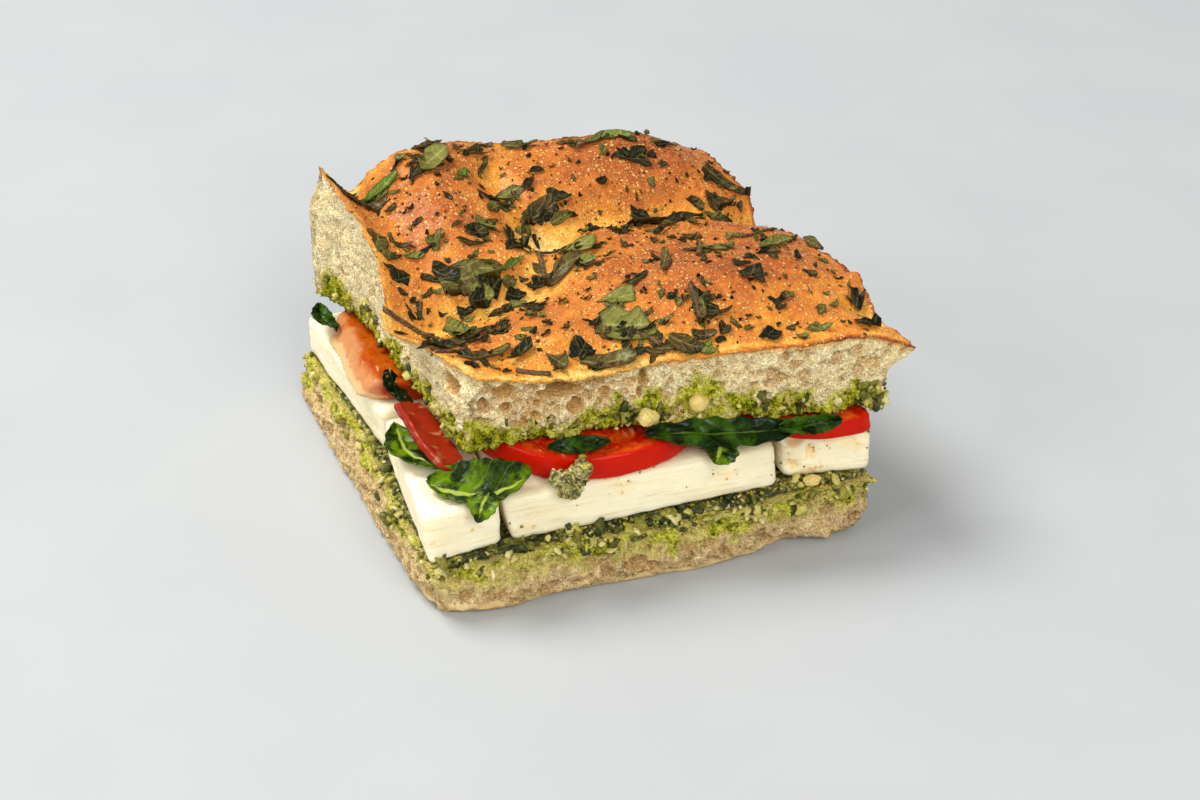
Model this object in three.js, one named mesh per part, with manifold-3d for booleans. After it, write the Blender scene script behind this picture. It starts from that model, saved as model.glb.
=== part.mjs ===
// A caprese sandwich: two pieces of herb-topped focaccia with pesto, mozzarella,
// tomato and basil between them, cut from a larger loaf with four straight cuts.
// Millimetres, +Z up. X runs along the front cut and Y towards the back. The pieces are laid
// out over the surface Z = 0, and the finished group is then centred over its origin.

import * as THREE from 'three';
import { mergeVertices } from 'three/addons/utils/BufferGeometryUtils.js';
import Module from 'manifold-3d';

const wasm = await Module();
wasm.setup();

// ---------------------------------------------------------------- driving dimensions

const GAP = 0.3; // least clear space between neighbouring pieces
const REST = 0.55; // space left between two layers, so that their unevenness never meets

// The lower bread: the rims of its underside and of its cut top, each as four edges.
const LOWER_BREAD = {
  cells: [22, 12, 3],
  under: {
    front: [[-51.8, -52.8, 0], [-37, -56, 0], [-22, -54.8, 0], [-2, -56.4, 0], [14, -57.4, 0],
      [30, -55, 0], [39, -53.2, 0.8], [46, -55.4, 0.6], [54.5, -55.4, 1.6]],
    right: [[54.5, -55.4, 1.6], [55, -30, 0], [52.5, 10, 0], [49, 46, 0]],
    back: [[-59.5, 51, 0], [-20, 52.5, 0], [20, 50, 0], [49, 46, 0]],
    left: [[-51.8, -52.8, 0], [-55.8, -22, 0], [-57.5, 4, 0], [-59.5, 51, 0]],
  },
  top: {
    front: [[-53.5, -53, 12.4], [-36, -54, 12.8], [-22, -54.4, 13.6], [-3, -54.6, 13], [13, -55.4, 13],
      [28, -56, 14.2], [38, -56.4, 15.4], [57, -56.6, 15.2]],
    right: [[57, -56.6, 15.2], [57, -30, 14.6], [54, 0, 14.2], [50, 48, 14]],
    back: [[-57.6, 53, 13], [-20, 53.5, 13.4], [20, 51, 13.8], [50, 48, 14]],
    left: [[-53.5, -53, 12.4], [-54.6, -28, 13], [-54.4, 2, 13.2], [-57.6, 53, 13]],
  },
  bulge: 0.9, // how far its cut sides stand out at half height
  foot: 0.5, // how far its bottom edge is rounded in
};
const TORN_FLAP = { at: [43.2, -54.8, 4.5], half: [5, 4.8, 4.4] }; // a torn bit on its front

// The upper bread: the rims of its cut underside and of its crust.
const UPPER_BREAD = {
  cells: [18, 14, 4],
  under: {
    front: [[-39.6, -38, 33.4], [-27, -40, 35.2], [-18, -41.4, 35.8], [-8, -43, 36.4], [1, -44.4, 36.8],
      [15, -47, 36.2], [29, -49.2, 35.6], [46, -52, 35.4], [60, -54, 34.4]],
    right: [[60, -54, 34.4], [59, -30, 35.2], [56, 0, 35], [50.5, 42, 34.4]],
    back: [[-54.4, 49.5, 33.8], [-20, 48, 34.6], [20, 45, 34.8], [50.5, 42, 34.4]],
    left: [[-39.6, -38, 33.4], [-42, -23, 35.2], [-44.6, 2, 35.6], [-47.4, 28, 35.2], [-54.4, 49.5, 33.8]],
  },
  crust: {
    front: [[-36.4, -39.5, 53.6], [-18, -42, 51], [3, -44.8, 52.2], [24, -47.6, 53.4], [39, -49.5, 53],
      [56, -52, 53.4], [66.6, -53.8, 49.4]],
    right: [[66.6, -53.8, 49.4], [63.4, -44, 51.6], [64, -28, 53.6], [60, -6, 55], [56.4, 12, 52.4],
      [56, 24, 56], [52.4, 44, 59]],
    back: [[-51.4, 46.8, 70.6], [-44, 47, 64], [-37, 48, 66.4], [-30, 48.6, 69.4], [-12, 49.4, 68.6],
      [18, 47.4, 65.4], [36, 46, 63], [52.4, 44, 59]],
    left: [[-36.4, -39.5, 53.6], [-44.6, -21, 54], [-49.6, -8.5, 54.6], [-47, 2, 59.4], [-46.6, 15, 63.6],
      [-48.6, 30, 67.4], [-51.4, 46.8, 70.6]],
  },
  overhang: 0.6, // share of the height above which the crust's rim leaves the cut face
  arch: 1.6, // how far the middle of its underside is pushed up by the filling
  crag: 0.5, // unevenness of its cut sides
};

// Finger dents (negative) and the domes between them (positive) on the crust.
const CRUST_RELIEF = [
  { x: 24, y: -24, across: 84, along: 52, height: 5.4 },
  { x: -20, y: -28, across: 44, along: 30, height: 2.4 },
  { x: 28, y: 38, across: 62, along: 38, height: 4.6 },
  { x: -28, y: 26, across: 42, along: 46, height: 3.6 },
  { x: -16, y: 44, across: 34, along: 22, height: 2 },
  { x: -31, y: 43, across: 18, along: 18, height: 1.8 },
  { x: -44, y: -9, across: 26, along: 18, height: -2.6 },
  { x: -30, y: -9, across: 30, along: 18, height: -3.4 },
  { x: -15, y: -5, across: 30, along: 20, height: -4.6 },
  { x: -3, y: 13, across: 28, along: 26, height: -7 },
  { x: 14, y: 17, across: 32, along: 20, height: -4.4 },
  { x: 30, y: 17, across: 30, along: 18, height: -3.8 },
  { x: 50, y: 14, across: 32, along: 18, height: -5.2 },
  { x: -9, y: 32, across: 16, along: 30, height: -3 },
  { x: -44, y: 44, across: 15, along: 22, height: -2.6 },
  { x: 60, y: -40, across: 18, along: 12, height: -2.2 },
];

// Hollows in the crumb that open at the cut faces: centre and half sizes.
const CRUMB_HOLLOWS = [
  { at: [-30.2, -41, 48.6], half: [3.2, 4.2, 2] },
  { at: [-29.8, -41.2, 44.2], half: [1.8, 3, 1.8] },
  { at: [-17.6, -42.4, 46.8], half: [6, 5, 1.9] },
  { at: [-14, -43.6, 42.6], half: [2.6, 3.2, 2.2] },
  { at: [1.6, -46, 46.4], half: [1.7, 4, 4.2] },
  { at: [-40.6, -30, 48], half: [2.6, 3.2, 2.6] },
];

// Soaked knobs of crumb that hang below the upper bread's front edge.
const CRUMB_KNOBS = [
  { at: [21, -47.6, 37], half: [4.6, 2.6, 3.2] },
  { at: [33.5, -49.6, 35.4], half: [2, 1.7, 2.6] },
  { at: [58, -52.8, 33], half: [1.7, 1.7, 2.8] },
  { at: [-16, -41.6, 36], half: [4.4, 2.2, 2] },
];

// Pine nuts: centre and half sizes.
const PINE_NUTS = {
  pine_nut_round: { at: [14.4, -47.4, 41.2], half: [2.4, 2.1, 2.2] },
  pine_nut_broken: { at: [2.2, -46.4, 39.4], half: [2.6, 2.2, 1.9] },
  pine_nut_lower: { at: [41.4, -54.2, 17.6], half: [2.3, 1.5, 1.3] },
};

// Pesto: two layers that run through, and a blob on the front of the cheese.
const PESTO = {
  cells: [14, 10, 1],
  lower: { thickness: 1.3, inset: 0.016 },
  upper: { thickness: 0.8, inset: 0.045 },
  wave: 0.16,
  size: 6,
};
const PESTO_BLOB = { at: [-19, -52.6, 30.6], half: [4.6, 2.4, 4], crag: 0.16 };

// Mozzarella slabs: plan corners (front left, front right, back right, back left) of the foot,
// and how far each top corner leans from it. Their tops lie in one gently sloping plane.
const CHEESE_TOP = { height: 27.5, slope: 0.014 };
const MOZZARELLA_CELLS = [7, 5, 3];
const MOZZARELLA_EDGE = 0.9; // rounding of a slab's edges
const MOZZARELLA = {
  mozzarella_front_left: {
    plan: [[-53.2, -52, 0], [-35, -50.4, 0], [-33.8, -6, 0], [-50.4, -6.8, 0]],
    lean: [[-1, 1.8], [-1, 0.8], [0, 0], [-0.6, 0]],
  },
  mozzarella_front_middle: {
    plan: [[-32.8, -50.6, 0], [33.2, -52.8, 0], [32.8, -6, 0], [-32.8, -5.6, 0]],
    lean: [[-1.4, 0.4], [-0.4, 1.4], [0, 0], [0, 0]],
  },
  mozzarella_right: {
    plan: [[35.4, -51.4, 0], [57, -55, 0], [55, -5, 0], [34.6, -6, 0]],
    lean: [[-0.2, 3], [0, 0.8], [0, 0], [0, 0]],
  },
  mozzarella_back_left: {
    plan: [[-50.6, -3.6, 0], [-3, -3.2, 0], [-3.2, 47, 0], [-56.6, 50.4, 0]],
    lean: [[-0.4, 0], [0, 0], [0, 0], [-0.4, -1]],
  },
  mozzarella_back_right: {
    plan: [[-1.4, -3.4, 0], [53.4, -2.6, 0], [49.4, 45, 0], [-1.8, 47, 0]],
    lean: [[0, 0], [0, 0], [-0.6, -0.6], [0, -0.6]],
  },
};

// Tomato slices: centre, radius and thickness, and the cut through the slice at the sandwich's
// side: its place at the foot and how far it leans in at the top.
const TOMATO_SIDES = 30;
const TOMATO = {
  tomato_front: { at: [-5, -22], radius: 29.6, thickness: 6.8 },
  tomato_right: { at: [50, -33.4], radius: 22, thickness: 5.6, cut: { side: 1, x: 56, lean: 0.4 } },
  tomato_back_left: { at: [-38, 20], radius: 22.4, thickness: 5.6, cut: { side: -1, x: -54.6, lean: 4.6 } },
  tomato_back_right: { at: [25, 27.6], radius: 20, thickness: 5.2 },
};

// Leaves and the drooping end of a slice: points of the midrib, width, thickness, cup of the
// blade, turn about the midrib in degrees, and how blunt the ends are (1 = a pointed oval).
const LEAF_CELLS = [8, 4, 1];
const LEAF_THICKNESS = 0.7;
const LEAVES = {
  basil_front_left: {
    rib: [[-49.4, -40, 29], [-38, -46.4, 30], [-27, -47.6, 31.4]], width: 12, cup: 1.4, turn: 24,
    blunt: 0.7,
  },
  basil_front_lobe: {
    rib: [[-37.6, -50, 30], [-40.4, -53.4, 29.4], [-42, -54.6, 25.6]], width: 7.4, cup: 0.5, turn: 0,
    blunt: 0.9,
  },
  basil_left: {
    rib: [[-50, -14, 28.8], [-50.4, -26, 28.8], [-44, -36.4, 28.6]], width: 9, cup: 1, turn: -6, blunt: 0.7,
  },
  basil_fold: {
    rib: [[-22, -45.2, 35.6], [-15, -47.4, 36], [-8, -48.4, 36]], width: 4.6, cup: 0.5, turn: 24, blunt: 0.6,
  },
  basil_long: {
    rib: [[0.4, -48.4, 36.4], [12, -51, 35.4], [25, -53.8, 34.6], [38, -56.4, 34.8]],
    width: 7, cup: 0.7, turn: 34, blunt: 0.7,
  },
  basil_tip: {
    rib: [[17.4, -52.6, 33.2], [17, -54.4, 32], [16, -55.2, 28.6]], width: 9, cup: 0.5, turn: 0, blunt: 0.9,
  },
  basil_right: {
    rib: [[31, -56, 35.8], [38.4, -57.6, 36], [46, -58, 35.8]], width: 4.4, cup: 0.3, turn: 40, blunt: 0.7,
  },
  basil_back_left: {
    rib: [[-54.6, 44.6, 31.8], [-54.8, 38, 31], [-53, 31, 31.6]], width: 6.4, cup: 0.6, turn: -20, blunt: 0.7,
  },
  basil_hollow: {
    rib: [[-47, 3, 33.8], [-46.8, -5, 31], [-45.4, -12, 30.6]], width: 6, cup: 0.6, turn: -30, blunt: 0.7,
  },
};
const TOMATO_STRIP = {
  rib: [[-46.6, -12.4, 33], [-45.4, -22, 32.4], [-44.6, -31, 31.6], [-43.2, -39.4, 30.8]],
  width: 7, thickness: 2.2, cup: 0.6, turn: -26, blunt: 0.28,
};

// Dried herb flakes on the crust: [x, y, length, width, turn in degrees], the largest first.
const LARGE_FLAKES = [
  [-27, 0.5, 16, 8, -10], [-35.6, -19.4, 17, 7, 26], [-24.4, 39.6, 8, 10, 10], [36.4, -26, 9, 8, 60],
  [2.8, -32.4, 14, 8, -28], [-6.6, -40.6, 12, 6, -15], [19, -33.6, 11, 3, 78], [19, -13, 12, 3, 62],
  [14, -43.6, 9, 6, -30], [-5.8, -3.6, 13, 5, 8], [1, 1, 10, 6, 22], [-19.8, 13.8, 9, 6, 14],
  [-29.4, 36, 7, 4, 50], [-44.2, 17.2, 9, 4.6, 68], [-1.2, 21, 13, 4, 10], [21.8, 11, 13, 5, 6],
  [36, 12.4, 12, 8, -18], [26, 42.6, 12, 6, -6], [46.8, -13, 14, 3.4, 24], [2.6, -22.8, 10, 5, -16],
  [-32.8, -29.6, 12, 5, 6], [-44.6, 40.6, 10, 5, -20], [-38.4, 38.4, 9, 4, 8], [51, 26, 12, 4, -46],
];
const SMALL_FLAKES = { count: 24, long: [3, 6.4], slim: [0.4, 0.75], seed: 11, margin: 0.04 };
const FLAKE = { rise: 0.9, root: 0.7, sides: 5, slimSides: 4, curl: 0.5 };

// Colours and surface qualities.
const LOOK = {
  crust: { color: 0xc9803f, roughness: 0.55 },
  crumb: { color: 0xd9c398, roughness: 0.9 },
  cheese: { color: 0xefe6cc, roughness: 0.4 },
  tomato: { color: 0xb8321c, roughness: 0.3 },
  basil: { color: 0x3a5c22, roughness: 0.45 },
  pesto: { color: 0x6f7430, roughness: 0.6 },
  nut: { color: 0xdcc886, roughness: 0.5 },
};

// ---------------------------------------------------------------- shared geometry

// A seeded draw, so that the loose rules give the same result every time.
function seeded(seed) {
  let state = seed;
  return (low, high) => {
    state = (state * 1664525 + 1013904223) % 4294967296;
    return low + ((high - low) * state) / 4294967296;
  };
}

// A smooth step from 0 to 1 between two values.
const step = (from, to, value) => THREE.MathUtils.smoothstep(value, from, to);

// A gentle waviness of about -1 to 1 over the plan, with hills of the given size.
function ripple(x, y, size) {
  const along = Math.sin(x / size + 1.7 * Math.sin(y / size / 1.9));
  const across = Math.cos((y / size) * 1.13 + 0.6 * Math.sin(x / size / 1.4));
  return along * across;
}

// A curve through a short list of points.
function through(points) {
  return new THREE.CatmullRomCurve3(points.map((point) => new THREE.Vector3(...point)), false, 'centripetal');
}

// A surface that fills four edge curves (a Coons patch): u runs along the front, v to the back.
function patch(rim) {
  const front = through(rim.front);
  const back = through(rim.back);
  const left = through(rim.left);
  const right = through(rim.right);
  const [frontLeft, frontRight] = [front.getPoint(0), front.getPoint(1)];
  const [backLeft, backRight] = [back.getPoint(0), back.getPoint(1)];
  return (u, v) => front.getPointAt(u).multiplyScalar(1 - v)
    .addScaledVector(back.getPointAt(u), v)
    .addScaledVector(left.getPointAt(v), 1 - u)
    .addScaledVector(right.getPointAt(v), u)
    .addScaledVector(frontLeft, -(1 - u) * (1 - v))
    .addScaledVector(frontRight, -u * (1 - v))
    .addScaledVector(backLeft, -(1 - u) * v)
    .addScaledVector(backRight, -u * v);
}

// The height of a patch above a place in the plan, found by walking its shares towards it.
function heightAt(surface, x, y) {
  const dig = 0.01;
  const clamp = (share) => THREE.MathUtils.clamp(share, 0, 1);
  let u = 0.5;
  let v = 0.5;
  for (let turn = 0; turn < 7; turn += 1) {
    const [u0, u1, v0, v1] = [clamp(u - dig), clamp(u + dig), clamp(v - dig), clamp(v + dig)];
    const here = surface(u, v);
    const du = surface(u1, v).sub(surface(u0, v)).divideScalar(u1 - u0);
    const dv = surface(u, v1).sub(surface(u, v0)).divideScalar(v1 - v0);
    const det = du.x * dv.y - dv.x * du.y;
    const [dx, dy] = [x - here.x, y - here.y];
    u = clamp(u + (dx * dv.y - dy * dv.x) / det);
    v = clamp(v + (dy * du.x - dx * du.y) / det);
  }
  return surface(u, v).z;
}

// Shared vertices only, and no triangle without area where several vertices fell together.
function closed(geometry) {
  geometry.deleteAttribute('uv');
  geometry.deleteAttribute('normal');
  const merged = mergeVertices(geometry, 1e-4);
  const kept = [];
  const index = merged.index.array;
  for (let i = 0; i < index.length; i += 3) {
    const [a, b, c] = [index[i], index[i + 1], index[i + 2]];
    if (a !== b && b !== c && c !== a) {
      kept.push(a, b, c);
    }
  }
  merged.setIndex(kept);
  return merged;
}

// Moves every vertex of a geometry to the place that a function gives for it.
function warped(geometry, place) {
  const position = geometry.attributes.position;
  for (let i = 0; i < position.count; i += 1) {
    const spot = place(position.getX(i), position.getY(i), position.getZ(i));
    position.setXYZ(i, spot.x, spot.y, spot.z);
  }
  return geometry;
}

// A closed block of cells, whose vertex at shares u, v, w goes where place says.
function block([nx, ny, nz], place) {
  const box = closed(new THREE.BoxGeometry(1, 1, 1, nx, ny, nz));
  return warped(box, (x, y, z) => place(x + 0.5, y + 0.5, z + 0.5));
}

// An ellipsoid of few faces.
function pebble({ at, half }, detail = 2) {
  return closed(new THREE.IcosahedronGeometry(1, detail).scale(...half).translate(...at));
}

// From geometry to a solid that can be joined and cut, and back.
function toSolid(geometry) {
  return new wasm.Manifold(new wasm.Mesh({
    numProp: 3,
    vertProperties: new Float32Array(geometry.attributes.position.array),
    triVerts: new Uint32Array(geometry.index.array),
  }));
}

function toGeometry(solid) {
  const mesh = solid.getMesh();
  const geometry = new THREE.BufferGeometry();
  geometry.setAttribute('position', new THREE.BufferAttribute(new Float32Array(mesh.vertProperties), 3));
  geometry.setIndex(new THREE.BufferAttribute(new Uint32Array(mesh.triVerts), 1));
  return geometry;
}

// The largest piece of a solid, without loose scraps.
function largest(solid) {
  return solid.decompose().reduce((best, piece) => (piece.volume() > best.volume() ? piece : best));
}

// ---------------------------------------------------------------- layer heights

const lowerUnder = patch(LOWER_BREAD.under);
const lowerTop = patch(LOWER_BREAD.top);
const upperUnder = patch(UPPER_BREAD.under);
const upperCrust = patch(UPPER_BREAD.crust);

// Half a wave from rim to rim, for the arch in the upper bread's underside.
const middle = (u, v) => Math.sin(Math.PI * u) * Math.sin(Math.PI * v);

const breadTop = (x, y) => heightAt(lowerTop, x, y);
const cheeseFoot = (x, y) => breadTop(x, y) + 2 * REST + PESTO.lower.thickness + PESTO.wave;
const cheeseTop = (x) => CHEESE_TOP.height + CHEESE_TOP.slope * x;

// Height that the dents and domes add to the crust.
function crustRelief(x, y) {
  return CRUST_RELIEF.reduce((sum, spot) => {
    const away = Math.hypot((x - spot.x) / (spot.across / 2), (y - spot.y) / (spot.along / 2));
    return sum + spot.height * (1 - step(0, 1, away));
  }, 0.3 * ripple(x, y, 4));
}

const crustTop = (x, y) => heightAt(upperCrust, x, y) + crustRelief(x, y);

// ---------------------------------------------------------------- breads

// Which way a cut side faces at shares u, v: outward in X and in Y, or 0 away from the sides.
function outward(u, v) {
  const side = (share) => (share < 0.001 ? -1 : 0) + (share > 0.999 ? 1 : 0);
  return { x: side(u), y: side(v) };
}

function lowerBread() {
  const body = block(LOWER_BREAD.cells, (u, v, w) => {
    const out = outward(u, v);
    const onSide = out.x !== 0 || out.y !== 0;
    const spot = lowerUnder(u, v).lerp(lowerTop(u, v), w);
    const swell = LOWER_BREAD.bulge * Math.sin(Math.PI * w) + 0.5 * ripple(spot.x + 3 * w, spot.y, 2.4);
    const shift = w < 0.001 ? -LOWER_BREAD.foot : swell;
    spot.x += out.x * shift;
    spot.y += out.y * shift;
    if (w < 0.001 && !onSide) {
      spot.z = 0;
    }
    return spot;
  });
  return toGeometry(toSolid(body).add(toSolid(pebble(TORN_FLAP))));
}

function upperBreadBody() {
  return block(UPPER_BREAD.cells, (u, v, w) => {
    const out = outward(u, v);
    const foot = upperUnder(u, v);
    foot.z += UPPER_BREAD.arch * middle(u, v);
    const rim = upperCrust(u, v);
    rim.z += crustRelief(rim.x, rim.y);
    const spot = foot.clone().lerp(rim, step(UPPER_BREAD.overhang, 1, w));
    spot.z = THREE.MathUtils.lerp(foot.z, rim.z, w);
    const crag = w < 0.999 ? UPPER_BREAD.crag * ripple(spot.x + spot.z, spot.y - spot.z, 1.8) : 0;
    spot.x += out.x * crag;
    spot.y += out.y * crag;
    return spot;
  });
}

// One dried flake: a thin, curled scrap whose root sits in the crust.
function flake([x, y, length, width, turn], sides) {
  const angle = THREE.MathUtils.degToRad(turn);
  const scrap = closed(new THREE.CylinderGeometry(0.5, 0.5, 1, sides, 1).rotateX(Math.PI / 2));
  return warped(scrap, (a, b, c) => {
    const px = x + a * length * Math.cos(angle) - b * width * Math.sin(angle);
    const py = y + a * length * Math.sin(angle) + b * width * Math.cos(angle);
    const edge = Math.hypot(a, b) * 2;
    const rise = c > 0 ? FLAKE.rise + FLAKE.curl * edge : -FLAKE.root;
    return new THREE.Vector3(px, py, crustTop(px, py) + rise);
  });
}

// The small flakes are drawn over the crust and dropped where they would cross a larger one.
function smallFlakes() {
  const draw = seeded(SMALL_FLAKES.seed);
  const placed = LARGE_FLAKES.map(([x, y, length]) => ({ x, y, reach: length / 2 }));
  const list = [];
  while (list.length < SMALL_FLAKES.count) {
    const [low, high] = [SMALL_FLAKES.margin, 1 - SMALL_FLAKES.margin];
    const spot = upperCrust(draw(low, high), draw(low, high));
    const length = draw(...SMALL_FLAKES.long);
    const width = length * draw(...SMALL_FLAKES.slim);
    const turn = draw(0, 180);
    const reach = length / 2 + 0.8;
    if (placed.every((other) => Math.hypot(other.x - spot.x, other.y - spot.y) > other.reach + reach)) {
      placed.push({ x: spot.x, y: spot.y, reach });
      list.push([spot.x, spot.y, length, width, turn]);
    }
  }
  return list;
}

function upperBread() {
  let bread = toSolid(upperBreadBody());
  CRUMB_KNOBS.forEach((knob) => {
    bread = bread.add(toSolid(pebble(knob, 1)));
  });
  CRUMB_HOLLOWS.forEach((hollow) => {
    bread = bread.subtract(toSolid(pebble(hollow, 1)));
  });
  LARGE_FLAKES.forEach((spot) => {
    bread = bread.add(toSolid(flake(spot, FLAKE.sides)));
  });
  smallFlakes().forEach((spot) => {
    bread = bread.add(toSolid(flake(spot, FLAKE.slimSides)));
  });
  return toGeometry(largest(bread));
}

// ---------------------------------------------------------------- fillings

// A slab of cheese: straight cut sides with soft edges, on the layer of pesto.
function mozzarella({ plan, lean }) {
  const foot = plan.map((corner) => new THREE.Vector3(...corner));
  const top = foot.map((corner, i) => corner.clone().add(new THREE.Vector3(...lean[i], 0)));
  const spread = ([a, b, c, d], u, v) => a.clone().lerp(b, u).lerp(d.clone().lerp(c, u), v);
  return block(MOZZARELLA_CELLS, (u, v, w) => {
    const out = outward(u, v);
    const spot = spread(foot, u, v).lerp(spread(top, u, v), w);
    const corner = (out.x !== 0 || out.y !== 0) && (w < 0.001 || w > 0.999);
    spot.z = THREE.MathUtils.lerp(cheeseFoot(spot.x, spot.y), cheeseTop(spot.x), w);
    spot.z -= w > 0.999 && corner ? MOZZARELLA_EDGE * 0.7 : 0;
    spot.x -= out.x * (corner ? MOZZARELLA_EDGE : 0);
    spot.y -= out.y * (corner ? MOZZARELLA_EDGE : 0);
    return spot;
  });
}

// A tomato slice with a rounded skin, cut where the sandwich's side runs through it.
function tomato({ at, radius, thickness, cut }) {
  const foot = REST + cheeseTop(at[0]);
  const skin = [[0, 0], [0.93, 0], [1, 0.32], [0.99, 0.72], [0.92, 1], [0, 1]];
  const profile = skin.map(([r, t]) => new THREE.Vector2(r * radius, t * thickness));
  const slice = closed(new THREE.LatheGeometry(profile, TOMATO_SIDES).rotateX(Math.PI / 2));
  slice.rotateY(-Math.atan(CHEESE_TOP.slope)).translate(at[0], at[1], foot);
  if (!cut) {
    return slice;
  }
  const size = 3 * radius;
  const wedge = new THREE.BoxGeometry(size, size, size).translate((cut.side * size) / 2, 0, 0);
  wedge.rotateY(Math.atan2(cut.lean, thickness) * cut.side);
  wedge.translate(cut.x, at[1], foot);
  return toGeometry(toSolid(slice).subtract(toSolid(closed(wedge))));
}

// A thin wavy blade along a midrib, with both faces divided alike.
function blade({ rib, width, cup, turn, blunt, thickness = LEAF_THICKNESS }) {
  const curve = through(rib);
  const up = new THREE.Vector3(0, 0, 1);
  return block(LEAF_CELLS, (u, v, w) => {
    const centre = curve.getPointAt(u);
    const tangent = curve.getTangentAt(u);
    const side = up.clone().cross(tangent).normalize();
    side.applyAxisAngle(tangent, THREE.MathUtils.degToRad(turn));
    const face = tangent.clone().cross(side).normalize();
    const across = (v - 0.5) * 2;
    const half = (width / 2) * Math.max(Math.sin(Math.PI * u) ** blunt, 0.12);
    const lift = cup * across * across + 0.3 * ripple(centre.x * 1.3 + 4 * across, centre.y, 2.6);
    return centre.addScaledVector(side, across * half).addScaledVector(face, lift + (w - 0.5) * thickness);
  });
}

// A layer of pesto between two surfaces of the breads, a little inside their rims.
function pestoLayer(surface, inset, low, high) {
  return block(PESTO.cells, (u, v, w) => {
    const spot = surface(THREE.MathUtils.lerp(inset, 1 - inset, u), THREE.MathUtils.lerp(inset, 1 - inset, v));
    const wave = PESTO.wave * ripple(spot.x, spot.y, PESTO.size);
    spot.z += w < 0.5 ? low : high;
    spot.z += (low < 0) === (w < 0.5) ? wave : 0;
    return spot;
  });
}

function pestoBlob() {
  const [x, y, z] = PESTO_BLOB.at;
  return warped(pebble(PESTO_BLOB, 3), (px, py, pz) => {
    const grain = 1 + PESTO_BLOB.crag * ripple(px + pz, py - pz, 0.9);
    return new THREE.Vector3(x + (px - x) * grain, y + (py - y) * grain, z + (pz - z) * grain);
  });
}

// ---------------------------------------------------------------- laying out

// Cuts away what comes closer than the gap to a neighbour: the neighbour, moved by the gap each
// way, is taken out, and only the largest piece stays.
function fitted(geometry, neighbours) {
  const reach = new THREE.Box3().setFromBufferAttribute(geometry.attributes.position).expandByScalar(GAP);
  const near = neighbours.filter((other) => (
    new THREE.Box3().setFromBufferAttribute(other.attributes.position).intersectsBox(reach)));
  const ways = [[GAP, 0, 0], [-GAP, 0, 0], [0, GAP, 0], [0, -GAP, 0], [0, 0, GAP], [0, 0, -GAP]];
  let solid = toSolid(geometry);
  let touched = false;
  near.forEach((other) => ways.forEach((way) => {
    const cutter = toSolid(other.clone().translate(...way));
    if (solid.intersect(cutter).volume() > 0) {
      solid = solid.subtract(cutter);
      touched = true;
    }
  }));
  return touched ? toGeometry(largest(solid)) : geometry;
}

const sandwich = new THREE.Group();
const laid = [];

function lay(name, look, geometry) {
  const piece = fitted(geometry, laid);
  laid.push(piece);
  const mesh = new THREE.Mesh(piece, new THREE.MeshStandardMaterial({ ...look, metalness: 0 }));
  mesh.name = name;
  sandwich.add(mesh);
  return piece;
}

Object.entries(PINE_NUTS).forEach(([name, nut]) => lay(name, LOOK.nut, pebble(nut, 1)));
lay('bottom_focaccia', LOOK.crumb, lowerBread());
lay('top_focaccia', LOOK.crust, upperBread());
Object.entries(MOZZARELLA).forEach(([name, slab]) => lay(name, LOOK.cheese, mozzarella(slab)));
Object.entries(TOMATO).forEach(([name, slice]) => lay(name, LOOK.tomato, tomato(slice)));
lay('tomato_strip', LOOK.tomato, blade(TOMATO_STRIP));
Object.entries(LEAVES).forEach(([name, leaf]) => lay(name, LOOK.basil, blade(leaf)));
lay('pesto_blob', LOOK.pesto, pestoBlob());
const lowerFace = REST + PESTO.lower.thickness;
const upperFace = -REST - PESTO.upper.thickness;
lay('pesto_lower', LOOK.pesto, pestoLayer(lowerTop, PESTO.lower.inset, REST, lowerFace));
lay('pesto_upper', LOOK.pesto, pestoLayer(upperUnder, PESTO.upper.inset, upperFace, -REST));

// The origin is the middle of the whole sandwich's box, on the surface that it stands on.
const box = new THREE.Box3().setFromObject(sandwich);
const centre = box.getCenter(new THREE.Vector3());
sandwich.position.set(-centre.x, -centre.y, -box.min.z);

export default sandwich;
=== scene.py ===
# %% [markdown]
# # A caprese sandwich in focaccia
# A square of herb focaccia, split and filled with slabs of mozzarella, tomato slices, basil leaves
# and pesto. The imported model holds every piece at its real size. This script dresses each of those
# pieces: it models the bread's crust and crumb, the cheese, the leaves and the sauce again with
# their real surface, in the same places, and gives them materials made of nodes.
#
# First the imported model is loaded.

# %% Load the imported model
import math
import random
import bpy
import numpy as np
from mathutils import Euler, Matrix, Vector, noise
from mathutils.bvhtree import BVHTree


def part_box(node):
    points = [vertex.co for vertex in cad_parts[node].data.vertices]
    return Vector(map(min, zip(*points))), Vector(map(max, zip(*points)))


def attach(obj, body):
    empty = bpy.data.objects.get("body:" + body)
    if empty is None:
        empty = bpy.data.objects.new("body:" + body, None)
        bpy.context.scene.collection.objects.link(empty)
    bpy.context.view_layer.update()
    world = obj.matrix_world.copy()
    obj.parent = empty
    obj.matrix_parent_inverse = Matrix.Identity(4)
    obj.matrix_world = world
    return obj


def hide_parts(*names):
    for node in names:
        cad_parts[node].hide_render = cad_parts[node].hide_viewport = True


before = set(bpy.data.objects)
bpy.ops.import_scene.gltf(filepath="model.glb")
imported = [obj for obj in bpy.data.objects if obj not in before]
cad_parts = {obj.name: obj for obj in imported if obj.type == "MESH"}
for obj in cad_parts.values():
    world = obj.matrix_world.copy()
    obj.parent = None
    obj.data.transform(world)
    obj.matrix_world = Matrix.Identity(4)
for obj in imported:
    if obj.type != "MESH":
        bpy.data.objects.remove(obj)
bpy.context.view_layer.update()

MM = 0.001

# %% [markdown]
# All sizes below are millimetres on the sandwich's own axes, as it was measured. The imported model
# stands a few millimetres beside those axes, because its box is centred over the origin. One pine
# nut, whose middle is known in both, tells how far.

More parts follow.
